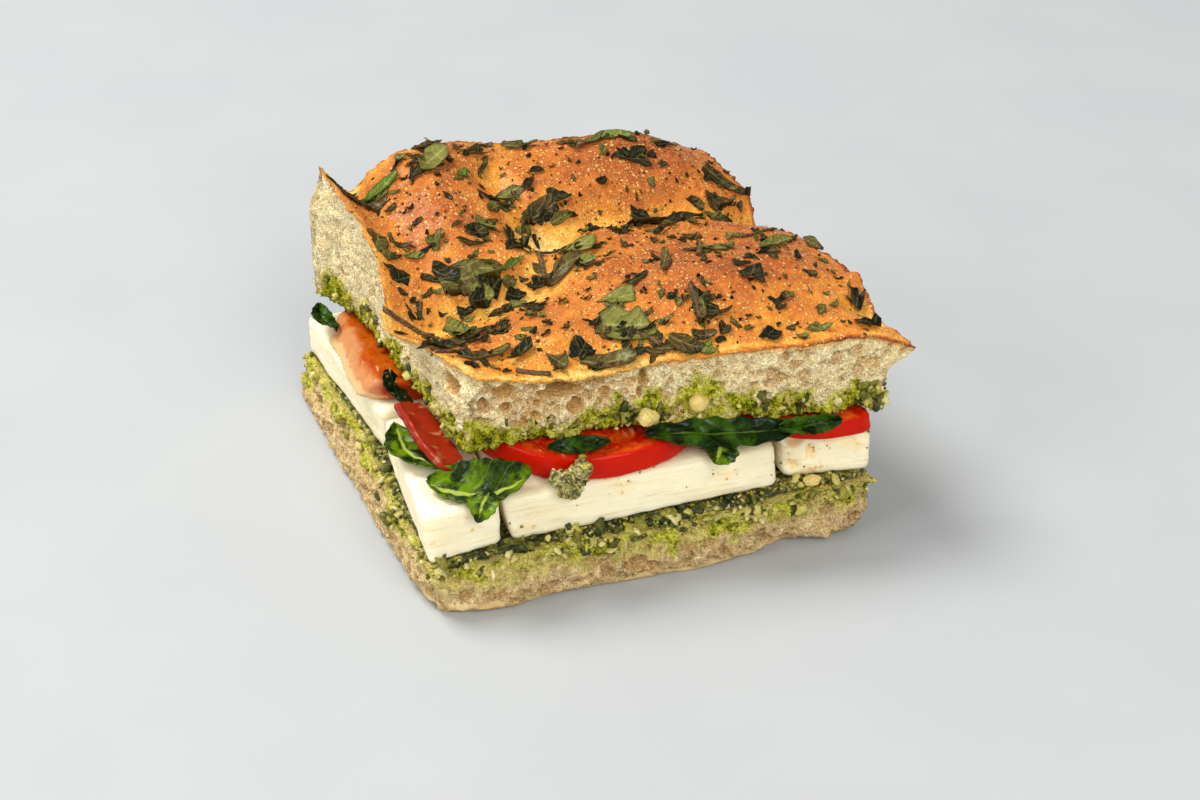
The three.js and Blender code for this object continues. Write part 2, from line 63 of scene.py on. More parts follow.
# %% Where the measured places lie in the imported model
NUT_AT = {"pine_nut_round": (14.4, -47.4, 41.2), "pine_nut_broken": (2.2, -46.4, 39.4),
          "pine_nut_lower": (41.4, -54.2, 17.6)}
nut_low, nut_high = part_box("pine_nut_round")
SHIFT = np.array((nut_low + nut_high) / 2 / MM) - np.array(NUT_AT["pine_nut_round"])
print("shift in mm:", SHIFT.round(2))

# %% [markdown]
# The camera stands where the photographer stood: about half a metre away, looking down by 32
# degrees and 20 degrees round to the left. The eye's place is measured on the sandwich's axes.

# %% The camera
EYE = np.array([-148.6, -427.9, 300.0])
LOOK_DOWN, LOOK_ROUND = 31.98, 20.0
LENS = 63

view = bpy.data.cameras.new("camera")
view.lens = LENS
view.sensor_width = 36
camera = bpy.data.objects.new("camera", view)
camera.location = (EYE + SHIFT) * MM
camera.rotation_euler = (math.radians(90 - LOOK_DOWN), 0, math.radians(-LOOK_ROUND))
bpy.context.scene.collection.objects.link(camera)
bpy.context.scene.camera = camera
print("camera at", tuple(round(c, 3) for c in camera.location))

# %% [markdown]
# A material here is a handful of nodes, and most of them are sums. Written as Python expressions
# they stay readable, so a small class wraps a socket and lets + - * / and ** add the Math nodes.

# %% Shader maths as Python expressions
class Term:
    """The output of a node, which can stand in a Python expression."""

    def __init__(self, finish, socket):
        self.finish, self.socket = finish, socket

    def maths(self, operation, first, second):
        return self.finish.node("ShaderNodeMath", {"operation": operation}, {0: first, 1: second})

    def __add__(self, other):
        return self.maths("ADD", self, other)

    def __radd__(self, other):
        return self.maths("ADD", other, self)

    def __sub__(self, other):
        return self.maths("SUBTRACT", self, other)

    def __rsub__(self, other):
        return self.maths("SUBTRACT", other, self)

    def __mul__(self, other):
        return self.maths("MULTIPLY", self, other)

    def __rmul__(self, other):
        return self.maths("MULTIPLY", other, self)

    def __truediv__(self, other):
        return self.maths("DIVIDE", self, other)

    def __pow__(self, other):
        return self.maths("POWER", self, other)

# %% [markdown]
# One more class holds a material while it is being made. Its node method adds any node: its
# settings are set first, then its sockets get values or links. The other methods are short names
# for the textures that food needs again and again, with their sizes in millimetres.

# %% A material and its nodes
def srgb(red, green, blue):
    """A colour as a screen shows it, from 0 to 255, turned into the linear one that nodes use."""
    shares = [c / 255 for c in (red, green, blue)]
    return (*[s / 12.92 if s < 0.04 else ((s + 0.055) / 1.055) ** 2.4 for s in shares], 1)


class Finish:
    """A material that is built node by node round one Principled shader."""

    def __init__(self, name, **constants):
        self.material = bpy.data.materials.new(name)
        self.material.use_nodes = True
        self.tree = self.material.node_tree
        self.tree.nodes.clear()
        self.shader = self.tree.nodes.new("ShaderNodeBsdfPrincipled")
        output = self.tree.nodes.new("ShaderNodeOutputMaterial")
        self.tree.links.new(self.shader.outputs[0], output.inputs[0])
        for socket, value in constants.items():
            self.shader.inputs[socket.replace("_", " ")].default_value = value
        self.place = self.node("ShaderNodeTexCoord", out="Object")

    def feed(self, socket, value):
        if isinstance(value, Term):
            self.tree.links.new(value.socket, socket)
        else:
            socket.default_value = value

    def node(self, kind, settings=None, sockets=None, out=0):
        made = self.tree.nodes.new(kind)
        for name, value in (settings or {}).items():
            setattr(made, name, value)
        for name, value in (sockets or {}).items():
            self.feed(made.inputs[name], value)
        return Term(self, made.outputs[out])

    def attribute(self, name):
        return self.node("ShaderNodeAttribute", {"attribute_name": name}, out="Fac")

    def stretched(self, x, y, z, where=None):
        """The place with each axis multiplied, for patterns longer one way than another."""
        sockets = {"Vector": where or self.place, "Scale": (x, y, z)}
        return self.node("ShaderNodeMapping", {"vector_type": "POINT"}, sockets)

    def absolute(self, value):
        return self.node("ShaderNodeMath", {"operation": "ABSOLUTE"}, {0: value})

    def bent(self, size, reach):
        """The place pushed about by noise, so that a pattern on it loses its regular look."""
        colour = self.node("ShaderNodeTexNoise", {}, {"Vector": self.place, "Scale": 1 / (size * MM)}, 1)
        centred = self.node("ShaderNodeVectorMath", {"operation": "SUBTRACT"}, {0: colour, 1: (0.5, 0.5, 0.5)})
        scaled = self.node("ShaderNodeVectorMath", {"operation": "MULTIPLY"}, {0: centred, 1: (reach * MM,) * 3})
        return self.node("ShaderNodeVectorMath", {"operation": "ADD"}, {0: self.place, 1: scaled})

    def ramp(self, value, stops):
        """A colour ramp: each stop has its place from 0 to 1 and its colour."""
        made = self.node("ShaderNodeValToRGB", {}, {0: value})
        elements = made.socket.node.color_ramp.elements
        while len(elements) < len(stops):
            elements.new(0.5)
        for element, (place, colour) in zip(elements, stops):
            element.position, element.color = place, colour
        return made

    def noise(self, size, detail=3.0, rough=0.5, where=None, warp=0.0):
        sockets = {"Vector": where or self.place, "Scale": 1 / (size * MM), "Detail": detail,
                   "Roughness": rough, "Distortion": warp}
        return self.node("ShaderNodeTexNoise", {}, sockets)

    def cells(self, size, out="Distance", feature="F1", where=None, random_share=1.0):
        sockets = {"Vector": where or self.place, "Scale": 1 / (size * MM), "Randomness": random_share}
        return self.node("ShaderNodeTexVoronoi", {"feature": feature}, sockets, out)

    def step(self, low, high, value):
        """A smooth step from 0 to 1 while the value goes from low to high."""
        sockets = {"Value": value, "From Min": low, "From Max": high}
        return self.node("ShaderNodeMapRange", {"interpolation_type": "SMOOTHSTEP"}, sockets)

    def mix(self, share, first, second, blend="MIX"):
        """From the first colour to the second, as the share goes from 0 to 1."""
        settings = {"data_type": "RGBA", "blend_type": blend}
        return self.node("ShaderNodeMix", settings, {0: share, 6: first, 7: second}, out=2)

    def red(self, colour):
        return self.node("ShaderNodeSeparateColor", {}, {0: colour})

    def relief(self, height, depth, under=None):
        """A bump whose full height is depth, in millimetres, on top of another bump."""
        sockets = {"Height": height, "Distance": depth * MM, "Strength": 1.0}
        if under:
            sockets["Normal"] = under
        return self.node("ShaderNodeBump", {}, sockets)

    def wear(self, **looks):
        """Feeds the shader's sockets with what varies over the surface."""
        for name, value in looks.items():
            self.feed(self.shader.inputs[name.replace("_", " ")], value)
        return self.material

# %% [markdown]
# Everything below is a mesh whose vertices are moved by a rule, so the next helpers read and write
# all of a mesh's vertices at once, start and name a new piece, run Displace modifiers with a
# texture, and hand a finished piece to the frame: it rides on the sandwich, hides the imported
# pieces it stands for, and gets its material.

# %% Helpers for meshes
def spots(piece):
    """All vertices of a mesh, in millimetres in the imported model's place."""
    flat = np.empty(len(piece.data.vertices) * 3)
    piece.data.vertices.foreach_get("co", flat)
    return flat.reshape(-1, 3)


def settle(piece, places):
    """Writes vertices, given in millimetres on the sandwich's axes, to the mesh."""
    piece.data.vertices.foreach_set("co", ((places + SHIFT) * MM).ravel())
    piece.data.update()


def measured(piece):
    return spots(piece) / MM - SHIFT


def normals(piece):
    flat = np.empty(len(piece.data.vertices) * 3)
    piece.data.vertices.foreach_get("normal", flat)
    return flat.reshape(-1, 3)


def start(name):
    """Names the primitive that was just added, and makes it the only selected object."""
    piece = bpy.context.object
    piece.name = piece.data.name = name
    bpy.ops.object.transform_apply(location=True, rotation=True, scale=True)
    return piece


def only(piece):
    bpy.ops.object.select_all(action="DESELECT")
    piece.select_set(True)
    bpy.context.view_layer.objects.active = piece


def paint(piece, name, values):
    """Stores one number for each vertex, which a material reads as an attribute."""
    if name not in piece.data.attributes:
        piece.data.attributes.new(name, "FLOAT", "POINT")
    piece.data.attributes[name].data.foreach_set("value", np.asarray(values, dtype=np.float32))


def group(piece, name, values):
    """A vertex group with the given weights, for a modifier to follow."""
    made = piece.vertex_groups.new(name=name)
    for index in np.nonzero(values > 0.01)[0]:
        made.add([int(index)], float(values[index]), "REPLACE")


def modify(piece, kind, **settings):
    only(piece)
    made = piece.modifiers.new(kind.lower(), kind)
    for name, value in settings.items():
        setattr(made, name, value)
    bpy.ops.object.modifier_apply(modifier=made.name)


def roughen(piece, kind, size, height, where="", depth=2):
    """Pushes the surface in and out by a texture with grains of one size, both in millimetres."""
    texture = bpy.data.textures.new(f"{piece.name}_{kind}_{size}", kind)
    texture.noise_scale = size * MM
    if kind == "CLOUDS":
        texture.noise_depth = depth
    modify(piece, "DISPLACE", texture=texture, texture_coords="LOCAL", strength=height * MM,
           mid_level=0.5, vertex_group=where)


def serve(piece, nodes, material):
    """Hands a finished piece to the frame."""
    piece.data.materials.clear()
    piece.data.materials.append(material)
    only(piece)
    bpy.ops.object.shade_smooth()
    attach(piece, "root")
    if nodes:
        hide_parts(*nodes)
    print(f"{piece.name}: {len(piece.data.polygons)} faces")


def smoothstep(low, high, value):
    share = np.clip((value - low) / (high - low), 0, 1)
    return share * share * (3 - 2 * share)


def fractal(places, size, seed=0.0, octaves=3):
    """Soft noise of about -1 to 1 at many places, with hills of the given size."""
    return np.array([noise.fractal(Vector(p) / size + Vector((seed, 0, 0)), 0.8, 2.1, octaves)
                     for p in places])

# %% [markdown]
# The breads are not boxes: their cut rims wave, and the crust runs from low in front to high at
# the back. Each such surface is a Coons patch, which fills the space between four edge curves.
# The curves run smoothly through a few measured points.

# %% Curves and patches
def through(points, samples=600):
    """A centripetal Catmull-Rom curve: gives the places at shares of its length from 0 to 1."""
    knots = np.array(points, dtype=float)
    knots = np.vstack([2 * knots[0] - knots[1], knots, 2 * knots[-1] - knots[-2]])
    track = []
    for a, b, c, d in zip(knots, knots[1:], knots[2:], knots[3:]):
        t0, t1, t2 = [math.sqrt(np.linalg.norm(q - p)) for p, q in ((a, b), (b, c), (c, d))]
        leave = ((b - a) / t0 - (c - a) / (t0 + t1) + (c - b) / t1) * t1
        reach = ((c - b) / t1 - (d - b) / (t1 + t2) + (d - c) / t2) * t1
        t = np.linspace(0, 1, samples // (len(knots) - 3), endpoint=False)[:, None]
        track.append(b + leave * t + (3 * c - 3 * b - 2 * leave - reach) * t**2
                     + (2 * b - 2 * c + leave + reach) * t**3)
    track = np.vstack([*track, knots[-2]])
    length = np.r_[0, np.cumsum(np.linalg.norm(np.diff(track, axis=0), axis=1))]
    length /= length[-1]

    def at(share):
        return np.stack([np.interp(share, length, track[:, axis]) for axis in range(3)], axis=-1)
    return at


def patch(front, right, back, left):
    """The surface between four rims: u runs along the front and v towards the back."""
    front, right, back, left = map(through, (front, right, back, left))

    def at(u, v):
        a, b = u[..., None], v[..., None]
        rims = front(u) * (1 - b) + back(u) * b + left(v) * (1 - a) + right(v) * a
        fronts = front(0.0) * (1 - a) + front(1.0) * a
        backs = back(0.0) * (1 - a) + back(1.0) * a
        return rims - fronts * (1 - b) - backs * b
    return at


def height_at(surface, x, y, dig=0.01):
    """The height of a patch above a place in the plan, found by walking its shares towards it."""
    u = np.full(np.shape(x), 0.5)
    v = np.full(np.shape(x), 0.5)
    for _ in range(7):
        here = surface(u, v)
        du = (surface(u + dig, v) - surface(u - dig, v)) / (2 * dig)
        dv = (surface(u, v + dig) - surface(u, v - dig)) / (2 * dig)
        det = du[..., 0] * dv[..., 1] - dv[..., 0] * du[..., 1]
        dx, dy = x - here[..., 0], y - here[..., 1]
        u = np.clip(u + (dx * dv[..., 1] - dy * dv[..., 0]) / det, dig, 1 - dig)
        v = np.clip(v + (dy * du[..., 0] - dx * du[..., 1]) / det, dig, 1 - dig)
    return surface(u, v)[..., 2]

# %% [markdown]
# Here are the rims of the four bread surfaces: the underside and top of the lower slice, and the
# torn underside and the crust of the upper one.

# %% The rims of both breads
LOWER_UNDER = patch(
    front=[(-51.8, -52.8, 0), (-37, -56, 0), (-22, -54.8, 0), (-2, -56.4, 0), (14, -57.4, 0), (30, -55, 0),
           (39, -53.2, 0.8), (46, -55.4, 0.6), (54.5, -55.4, 1.6)],
    right=[(54.5, -55.4, 1.6), (55, -30, 0), (52.5, 10, 0), (49, 46, 0)],
    back=[(-59.5, 51, 0), (-20, 52.5, 0), (20, 50, 0), (49, 46, 0)],
    left=[(-51.8, -52.8, 0), (-55.8, -22, 0), (-57.5, 4, 0), (-59.5, 51, 0)])
LOWER_TOP = patch(
    front=[(-53.5, -53, 12.4), (-36, -54, 12.8), (-22, -54.4, 13.6), (-3, -54.6, 13), (13, -55.4, 13),
           (28, -56, 14.2), (38, -56.4, 15.4), (57, -56.6, 15.2)],
    right=[(57, -56.6, 15.2), (57, -30, 14.6), (54, 0, 14.2), (50, 48, 14)],
    back=[(-57.6, 53, 13), (-20, 53.5, 13.4), (20, 51, 13.8), (50, 48, 14)],
    left=[(-53.5, -53, 12.4), (-54.6, -28, 13), (-54.4, 2, 13.2), (-57.6, 53, 13)])
UPPER_UNDER = patch(
    front=[(-39.6, -38, 33.4), (-27, -40, 35.2), (-18, -41.4, 35.8), (-8, -43, 36.4), (1, -44.4, 36.8),
           (15, -47, 36.2), (29, -49.2, 35.6), (46, -52, 35.4), (60, -54, 34.4)],
    right=[(60, -54, 34.4), (59, -30, 35.2), (56, 0, 35), (50.5, 42, 34.4)],
    back=[(-54.4, 49.5, 33.8), (-20, 48, 34.6), (20, 45, 34.8), (50.5, 42, 34.4)],
    left=[(-39.6, -38, 33.4), (-42, -23, 35.2), (-44.6, 2, 35.6), (-47.4, 28, 35.2), (-54.4, 49.5, 33.8)])
CRUST_RIM = patch(
    front=[(-36.4, -39.5, 53.6), (-18, -42, 51), (3, -44.8, 52.2), (24, -47.6, 53.4), (39, -49.5, 53),
           (56, -52, 53.4), (66.6, -53.8, 49.4)],
    right=[(66.6, -53.8, 49.4), (63.4, -44, 51.6), (64, -28, 53.6), (60, -6, 55), (56.4, 12, 52.4),
           (56, 24, 56), (52.4, 44, 59)],
    back=[(-51.4, 46.8, 70.6), (-44, 47, 64), (-37, 48, 66.4), (-30, 48.6, 69.4), (-12, 49.4, 68.6),
          (18, 47.4, 65.4), (36, 46, 63), (52.4, 44, 59)],
    left=[(-36.4, -39.5, 53.6), (-44.6, -21, 54), (-49.6, -8.5, 54.6), (-47, 2, 59.4), (-46.6, 15, 63.6),
          (-48.6, 30, 67.4), (-51.4, 46.8, 70.6)])
print("crust height in the middle:", CRUST_RIM(np.array(0.5), np.array(0.5)).round(1))

# %% [markdown]
# A slice of focaccia is one closed skin: the crust or cut face on top, four cut sides and an
# underside. By hand it is a grid whose rim is extruded downwards, row after row, then drawn in
# and closed. The cut sides show the pores, so their columns are made twice as fine as the grid
# by subdividing the rim once before it is extruded. The result is a unit block, whose vertices
# then go to the place that their shares across, along and up call for.

# %% A block of bread, still a unit cube
BOTTOM_RINGS = 3
RING_DRAW = 0.96


def select_rim():
    bpy.ops.mesh.select_all(action="DESELECT")
    bpy.ops.mesh.select_non_manifold(extend=False, use_wire=False, use_multi_face=False,
                                     use_non_contiguous=False, use_verts=False)


def loaf(name, across, along, rows):
    bpy.ops.object.select_all(action="DESELECT")
    bpy.ops.mesh.primitive_grid_add(x_subdivisions=across, y_subdivisions=along, size=1,
                                    location=(0.5, 0.5, 1))
    piece = start(name)
    bpy.ops.object.mode_set(mode="EDIT")
    bpy.ops.mesh.select_mode(type="EDGE")
    select_rim()
    bpy.ops.mesh.subdivide(number_cuts=1)
    select_rim()
    for _ in range(rows):
        bpy.ops.mesh.extrude_edges_move(TRANSFORM_OT_translate={"value": (0, 0, -1 / rows)})
    for _ in range(BOTTOM_RINGS):
        bpy.ops.mesh.extrude_edges_move(TRANSFORM_OT_translate={"value": (0, 0, 0)})
        bpy.ops.transform.resize(value=(RING_DRAW, RING_DRAW, 1), center_override=(0.5, 0.5, 0))
    bpy.ops.mesh.edge_face_add()
    bpy.ops.mesh.select_all(action="SELECT")
    bpy.ops.mesh.normals_make_consistent(inside=False)
    bpy.ops.object.mode_set(mode="OBJECT")
    print(name, "starts with", len(piece.data.vertices), "vertices")
    return piece


def shares(piece):
    """The shares u, v and w of a unit block's vertices, and which of them lie on its sides."""
    u, v, w = spots(piece).T
    rim = np.minimum.reduce([u, v, 1 - u, 1 - v]) < 1e-5
    return u, v, w, rim

# %% [markdown]
# Crumb is a foam of gas bubbles that the knife has opened. Each bubble becomes a round dent in the
# cut side: vertices near its middle move inwards, more the closer they are. The places are bent
# by noise first, which makes the bubbles ragged instead of round. The deepest dent wins where two
# meet, and this leaves thin walls between them, as in the real crumb.

# %% Opening the bubbles of a cut side
def bubbles(places, rim, count, small, large, seed, squash=1.25, near=None):
    """How deep each vertex lies in a bubble, in millimetres, for bubbles strewn over the rim."""
    draw = np.random.default_rng(seed)
    bent = places + 0.35 * np.array([noise.noise_vector(Vector(p) / 1.3) for p in places])
    bent[:, 2] *= squash
    weight = rim.astype(float) if near is None else near * rim
    middles = bent[draw.choice(len(places), count, p=weight / weight.sum())]
    radii = small * (large / small) ** (draw.random(count) ** 2.2)
    depth = np.zeros(len(places))
    side = np.nonzero(rim)[0]
    order = side[np.argsort(bent[side, 2])]
    heights = bent[order, 2]
    for middle, radius in zip(middles, radii):
        low, high = np.searchsorted(heights, (middle[2] - radius, middle[2] + radius))
        close = order[low:high]
        away = np.linalg.norm(bent[close] - middle, axis=1) / radius
        dent = 0.85 * radius * np.clip(1 - away**2.6, 0, 1)
        depth[close] = np.maximum(depth[close], dent)
    return depth


def hollow(places, at, half):
    """A share from 0 to 1 that tells how deep a vertex lies in one large hollow or knob."""
    away = np.linalg.norm((places - np.array(at)) / np.array(half), axis=1)
    return np.clip(1 - away**2, 0, 1)

# %% [markdown]
# The crust rises in broad domes and sinks where fingers pressed the dough before it was baked.
# Every dome and dent is one smooth bump with its own place, width, length and height.

# %% The domes and dents of the crust
CRUST_RELIEF = [
    (24, -24, 84, 52, 5.4), (-20, -28, 44, 30, 2.4), (28, 38, 62, 38, 4.6), (-28, 26, 42, 46, 3.6),
    (-16, 44, 34, 22, 2), (-31, 43, 18, 18, 1.8), (-44, -9, 26, 18, -2.6), (-30, -9, 30, 18, -3.4),
    (-15, -5, 30, 20, -4.6), (-3, 13, 28, 26, -7), (14, 17, 32, 20, -4.4), (30, 17, 30, 18, -3.8),
    (50, 14, 32, 18, -5.2), (-9, 32, 16, 30, -3), (-44, 44, 15, 22, -2.6), (60, -40, 18, 12, -2.2),
    (63, -28, 11, 9, 2.4), (62, -35, 8, 5, -1.8), (60.6, -45, 8, 5, -1.6), (57, 16, 7, 6, -2.2),
    (62, -8, 7, 9, 1.2), (-12, -30, 16, 12, 1.5), (6, -8, 18, 12, 1.4), (40, 32, 16, 12, 1.3)]


def crust_relief(x, y):
    """The height that the domes add and the dents take away."""
    rise = np.zeros(len(x))
    for at_x, at_y, across, along, height in CRUST_RELIEF:
        away = np.hypot((x - at_x) / (across / 2), (y - at_y) / (along / 2))
        rise += height * (1 - smoothstep(0, 1, away))
    return rise + 0.3 * np.sin(x / 4 + 1.7 * np.sin(y / 7.6)) * np.cos(y / 3.54 + 0.6 * np.sin(x / 5.6))

# %% [markdown]
# The upper slice. Its side goes from the torn underside up to the overhanging crust. The top rows
# lie close together: they are the skin of the crust, and the crumb steps back just under it. Large
# bubbles open near the front left corner, golden inside by painted shade, and crumbs of soaked
# bread stick out below.

# %% The upper slice of focaccia
TOP_CELLS = (186, 152, 45)
SKIN_ROWS = [0, 0.25, 0.55, 0.95]
SKIN_STEP = 0.45
OVERHANG_FROM = 0.6
ARCH = 1.6
BIG_BUBBLES = [((-30.2, -41, 48.6), (3.2, 4.6, 2.3)), ((-29.8, -41.2, 44.2), (1.9, 3.4, 2)),
               ((-17.6, -42.4, 46.9), (6.2, 6.2, 2)), ((-14, -43.6, 42.6), (2.6, 3.8, 2.3)),
               ((1.9, -46, 48.2), (1.2, 4.6, 2.8)), ((1.1, -46, 44.8), (0.9, 4, 1.8)),
               ((-40.6, -30, 48), (2.8, 3.8, 2.8)),
               ((-23, -42, 41), (1.9, 2.8, 1.4)), ((-35, -39, 45.5), (1.5, 3.2, 1.6)),
               ((-6.6, -44, 45.4), (1.6, 3, 1.5)), ((-22.4, -42, 44), (1.4, 2.6, 1.4)),
               ((-26, -41, 39.6), (1.6, 2.6, 1.6)), ((-9.6, -44, 48.6), (1.8, 3, 0.9))]
CRUMB_KNOBS = [((21, -47.6, 37), (5, 3, 3.6)), ((33.5, -49.6, 35.4), (2.4, 2.4, 3)),
               ((58, -52.8, 33.4), (2.2, 2.4, 3)), ((-16, -41.6, 36), (4.8, 2.8, 2.4)),
               ((9, -46, 37), (3.6, 2.6, 2.4)), ((-34, -38, 34.6), (4, 2.6, 2.2)),
               ((-5, -44.6, 37.4), (2.6, 2.2, 2)), ((45, -51.6, 36), (3.4, 2, 2))]


def row_heights(w, rows, skin):
    """Depth below the top for rows that start close together, and each later row's share."""
    row = np.rint((1 - w) * rows).astype(int)
    rest = (row - len(skin) + 1) / (rows - len(skin) + 1)
    return np.interp(row, range(len(skin)), skin), np.clip(rest, 0, 1)


def side_ways(u, v):
    """The outward direction of each vertex on a side, turned half way at the corners."""
    x = np.where(u > 1 - 1e-5, 1.0, 0) - np.where(u < 1e-5, 1.0, 0)
    y = np.where(v > 1 - 1e-5, 1.0, 0) - np.where(v < 1e-5, 1.0, 0)
    length = np.maximum(np.hypot(x, y), 1)
    return np.stack([x / length, y / length, np.zeros(len(x))], axis=-1)


top_bread = loaf("top_focaccia_crust_and_crumb", *TOP_CELLS)
u, v, w, rim = shares(top_bread)
foot = UPPER_UNDER(u, v)
foot[:, 2] += ARCH * np.sin(math.pi * u) * np.sin(math.pi * v)
crust = CRUST_RIM(u, v)
rise = crust_relief(crust[:, 0], crust[:, 1])
crust[:, 2] += rise
below, rest = row_heights(w, TOP_CELLS[2], SKIN_ROWS)
height = crust[:, 2] - foot[:, 2]
level = (1 - below / height) * (1 - rest)
flare = smoothstep(OVERHANG_FROM, 1, level)[:, None]
places = foot * (1 - flare) + crust * flare
places[:, 2] = foot[:, 2] * (1 - level) + crust[:, 2] * level
on_top = w > 1 - 1e-5
on_side = rim & ~on_top
deep = np.where(on_side, (1 - level) * height, 0)
way = side_ways(u, v)
under_skin = smoothstep(0.3, 1.1, deep) * on_side
low_edge = np.clip(1 - level / 0.42, 0, 1) * under_skin

rim_line = rim * (below < 1.3) * (rest < 0.01)
ragged_rim = 0.45 * fractal(places, 1.5, 12.0) + 0.6 * fractal(places, 5, 14.0)
places += way * (rim_line * ragged_rim)[:, None]
places[:, 2] += rim_line * (0.35 * fractal(places, 1.8, 16.0) + 0.35 * fractal(places, 6, 18.0))

on_front = smoothstep(-0.5, -1, way[:, 1])
open_crumb = 0.12 + on_front * (0.35 + 2.3 * smoothstep(10, -30, places[:, 0]))
fine_pores = bubbles(places, on_side & (deep > 0.6), 5200, 0.36, 1.0, 5)
wide_pores = bubbles(places, on_side & (deep > 1.2), 620, 0.8, 2.2, 6, near=open_crumb)
caves = np.zeros(len(places))
for at, half in BIG_BUBBLES:
    caves = np.maximum(caves, hollow(places, at, half) * half[1] * 1.1)
knobs = np.zeros(len(places))
for at, half in CRUMB_KNOBS:
    knobs = np.maximum(knobs, hollow(places, at, half) * half[1] * 0.6)
torn = 0.45 * fractal(places, 3.2, 3.0) + 0.7 * fractal(places, 9, 8.0)
inward = (0.85 * fine_pores + wide_pores * 1.15) * under_skin
inward = np.maximum(inward, caves * on_side * (deep > 0.7) + 0.4 * inward)
corner = np.clip(1 - (u * 106 + v * 90) / 7, 0, 1) ** 2
push = under_skin * (torn - SKIN_STEP - 1.2 * corner) + knobs * on_side - inward
lumps = fractal(places, 1.9, 20.0)
push += low_edge * 1.1 * lumps
places += way * push[:, None]
places[:, 2] -= low_edge * (0.4 + 1.3 * np.abs(fractal(places, 2.8, 31.0))) * on_side
settle(top_bread, places)
print("deepest bubble in mm:", inward.max().round(2))

# %% [markdown]
# What the knife, the oven and the pesto did to the slice is kept as numbers on its vertices. The
# material reads them: where there is crust, how brown it is, how deep a vertex lies in a bubble
# and how much green oil the crumb has drunk. The crust is also made browner towards the right,
# which is painted shade. Oil rises from below, further in front than behind.

# %% What the upper slice's vertices know
UPPER_SOAK = [
    ((-38, -38, 37), (5, 5, 6)), ((-33, -40, 35), (8, 7, 5)), ((-20, -41, 35), (8, 6, 4.4)), ((-8, -43, 38), (7, 7, 6.5)), ((3, -45, 40), (6, 7, 7)),
    ((15, -47, 41), (7, 7, 8)), ((25, -49, 38), (6, 7, 7)), ((37, -50, 36), (8, 7, 6)), ((53, -53, 36), (9, 7, 7)),
    ((-41, -30, 36), (6, 7, 6)), ((-45, -14, 36), (6, 11, 7)), ((-46, 4, 37), (6, 8, 6.5)), ((-49, 22, 36), (6, 9, 8)),
    ((-52, 38, 37), (6, 11, 8)), ((58, -20, 36), (6, 14, 6)), ((54, 20, 36), (6, 16, 5)), ((10, 45, 36), (30, 6, 5))]


def soaked(places, height_over_sauce, reach, patches, seed):
    """How much oil the crumb has drunk, from 0 to 1: near the sauce, and in patches above it."""
    ragged = 1.4 * fractal(places, 5, seed) + 1.2 * fractal(places, 1.7, seed + 5)
    share = smoothstep(reach, reach * 0.1, height_over_sauce + ragged)
    drift = 3.2 * fractal(places, 5, seed + 9)
    drifted = places + np.stack([drift, drift, 2.6 * fractal(places, 4, seed + 11)], axis=-1)
    for at, half in patches:
        blot = 1.7 * hollow(drifted, at, half) - 0.15 + 0.5 * fractal(places, 2.2, seed + 13)
        share = np.maximum(share, np.clip(blot, 0, 1) * (hollow(drifted, at, half) > 0))
    return share


from_edge = np.minimum.reduce([u * 110, v * 90, (1 - u) * 110, (1 - v) * 90])
hills = fractal(places * [1, 1, 0], 13, 2.0)
toast = 0.5 + np.where(rise < 0, 0.06, 0.034) * rise + 0.1 * hills + 0.06 * fractal(places, 4, 2.6)
# Painted shade: the crust grows browner towards the right, the side turned from the light.
shade_to_right = smoothstep(-20, 40, places[:, 0] + 0.3 * places[:, 1])
toast -= (0.2 - 0.12 * shade_to_right) * smoothstep(3.2, 0.6, from_edge)
toast -= 0.15 * smoothstep(-16, -40, places[:, 1])
toast += 0.1 * shade_to_right + (0.14 + 0.26 * shade_to_right) * smoothstep(1.1, 0.2, from_edge)
is_crust = np.where(on_top, 1.0, 0) + np.where(on_side, 1 - smoothstep(0.3, 0.7, deep), 0)
over_sauce = np.where(on_side, level * height, 0)
soak = soaked(places, over_sauce, 3.0, UPPER_SOAK, 40.0)
paint(top_bread, "crust", is_crust)
paint(top_bread, "toast", np.clip(toast, 0, 1))
paint(top_bread, "pore", np.clip(inward / 1.6, 0, 1))
paint(top_bread, "deep", np.clip(deep / 10, 0, 1))
# The cave attribute only darkens the colour of the large bubbles: painted shade.
paint(top_bread, "cave", smoothstep(0.3, 1.6, caves) * on_side)
paint(top_bread, "soak", soak)
group(top_bread, "crumb", under_skin)
group(top_bread, "crust", is_crust)
roughen(top_bread, "CLOUDS", 0.9, 0.3, "crumb")
roughen(top_bread, "CLOUDS", 6.0, 0.7, "crust")
roughen(top_bread, "CLOUDS", 2.4, 0.4, "crust")
roughen(top_bread, "CLOUDS", 1.1, 0.16, "crust")
print("soaked share of the crumb:", (soak[on_side] > 0.5).mean().round(3))
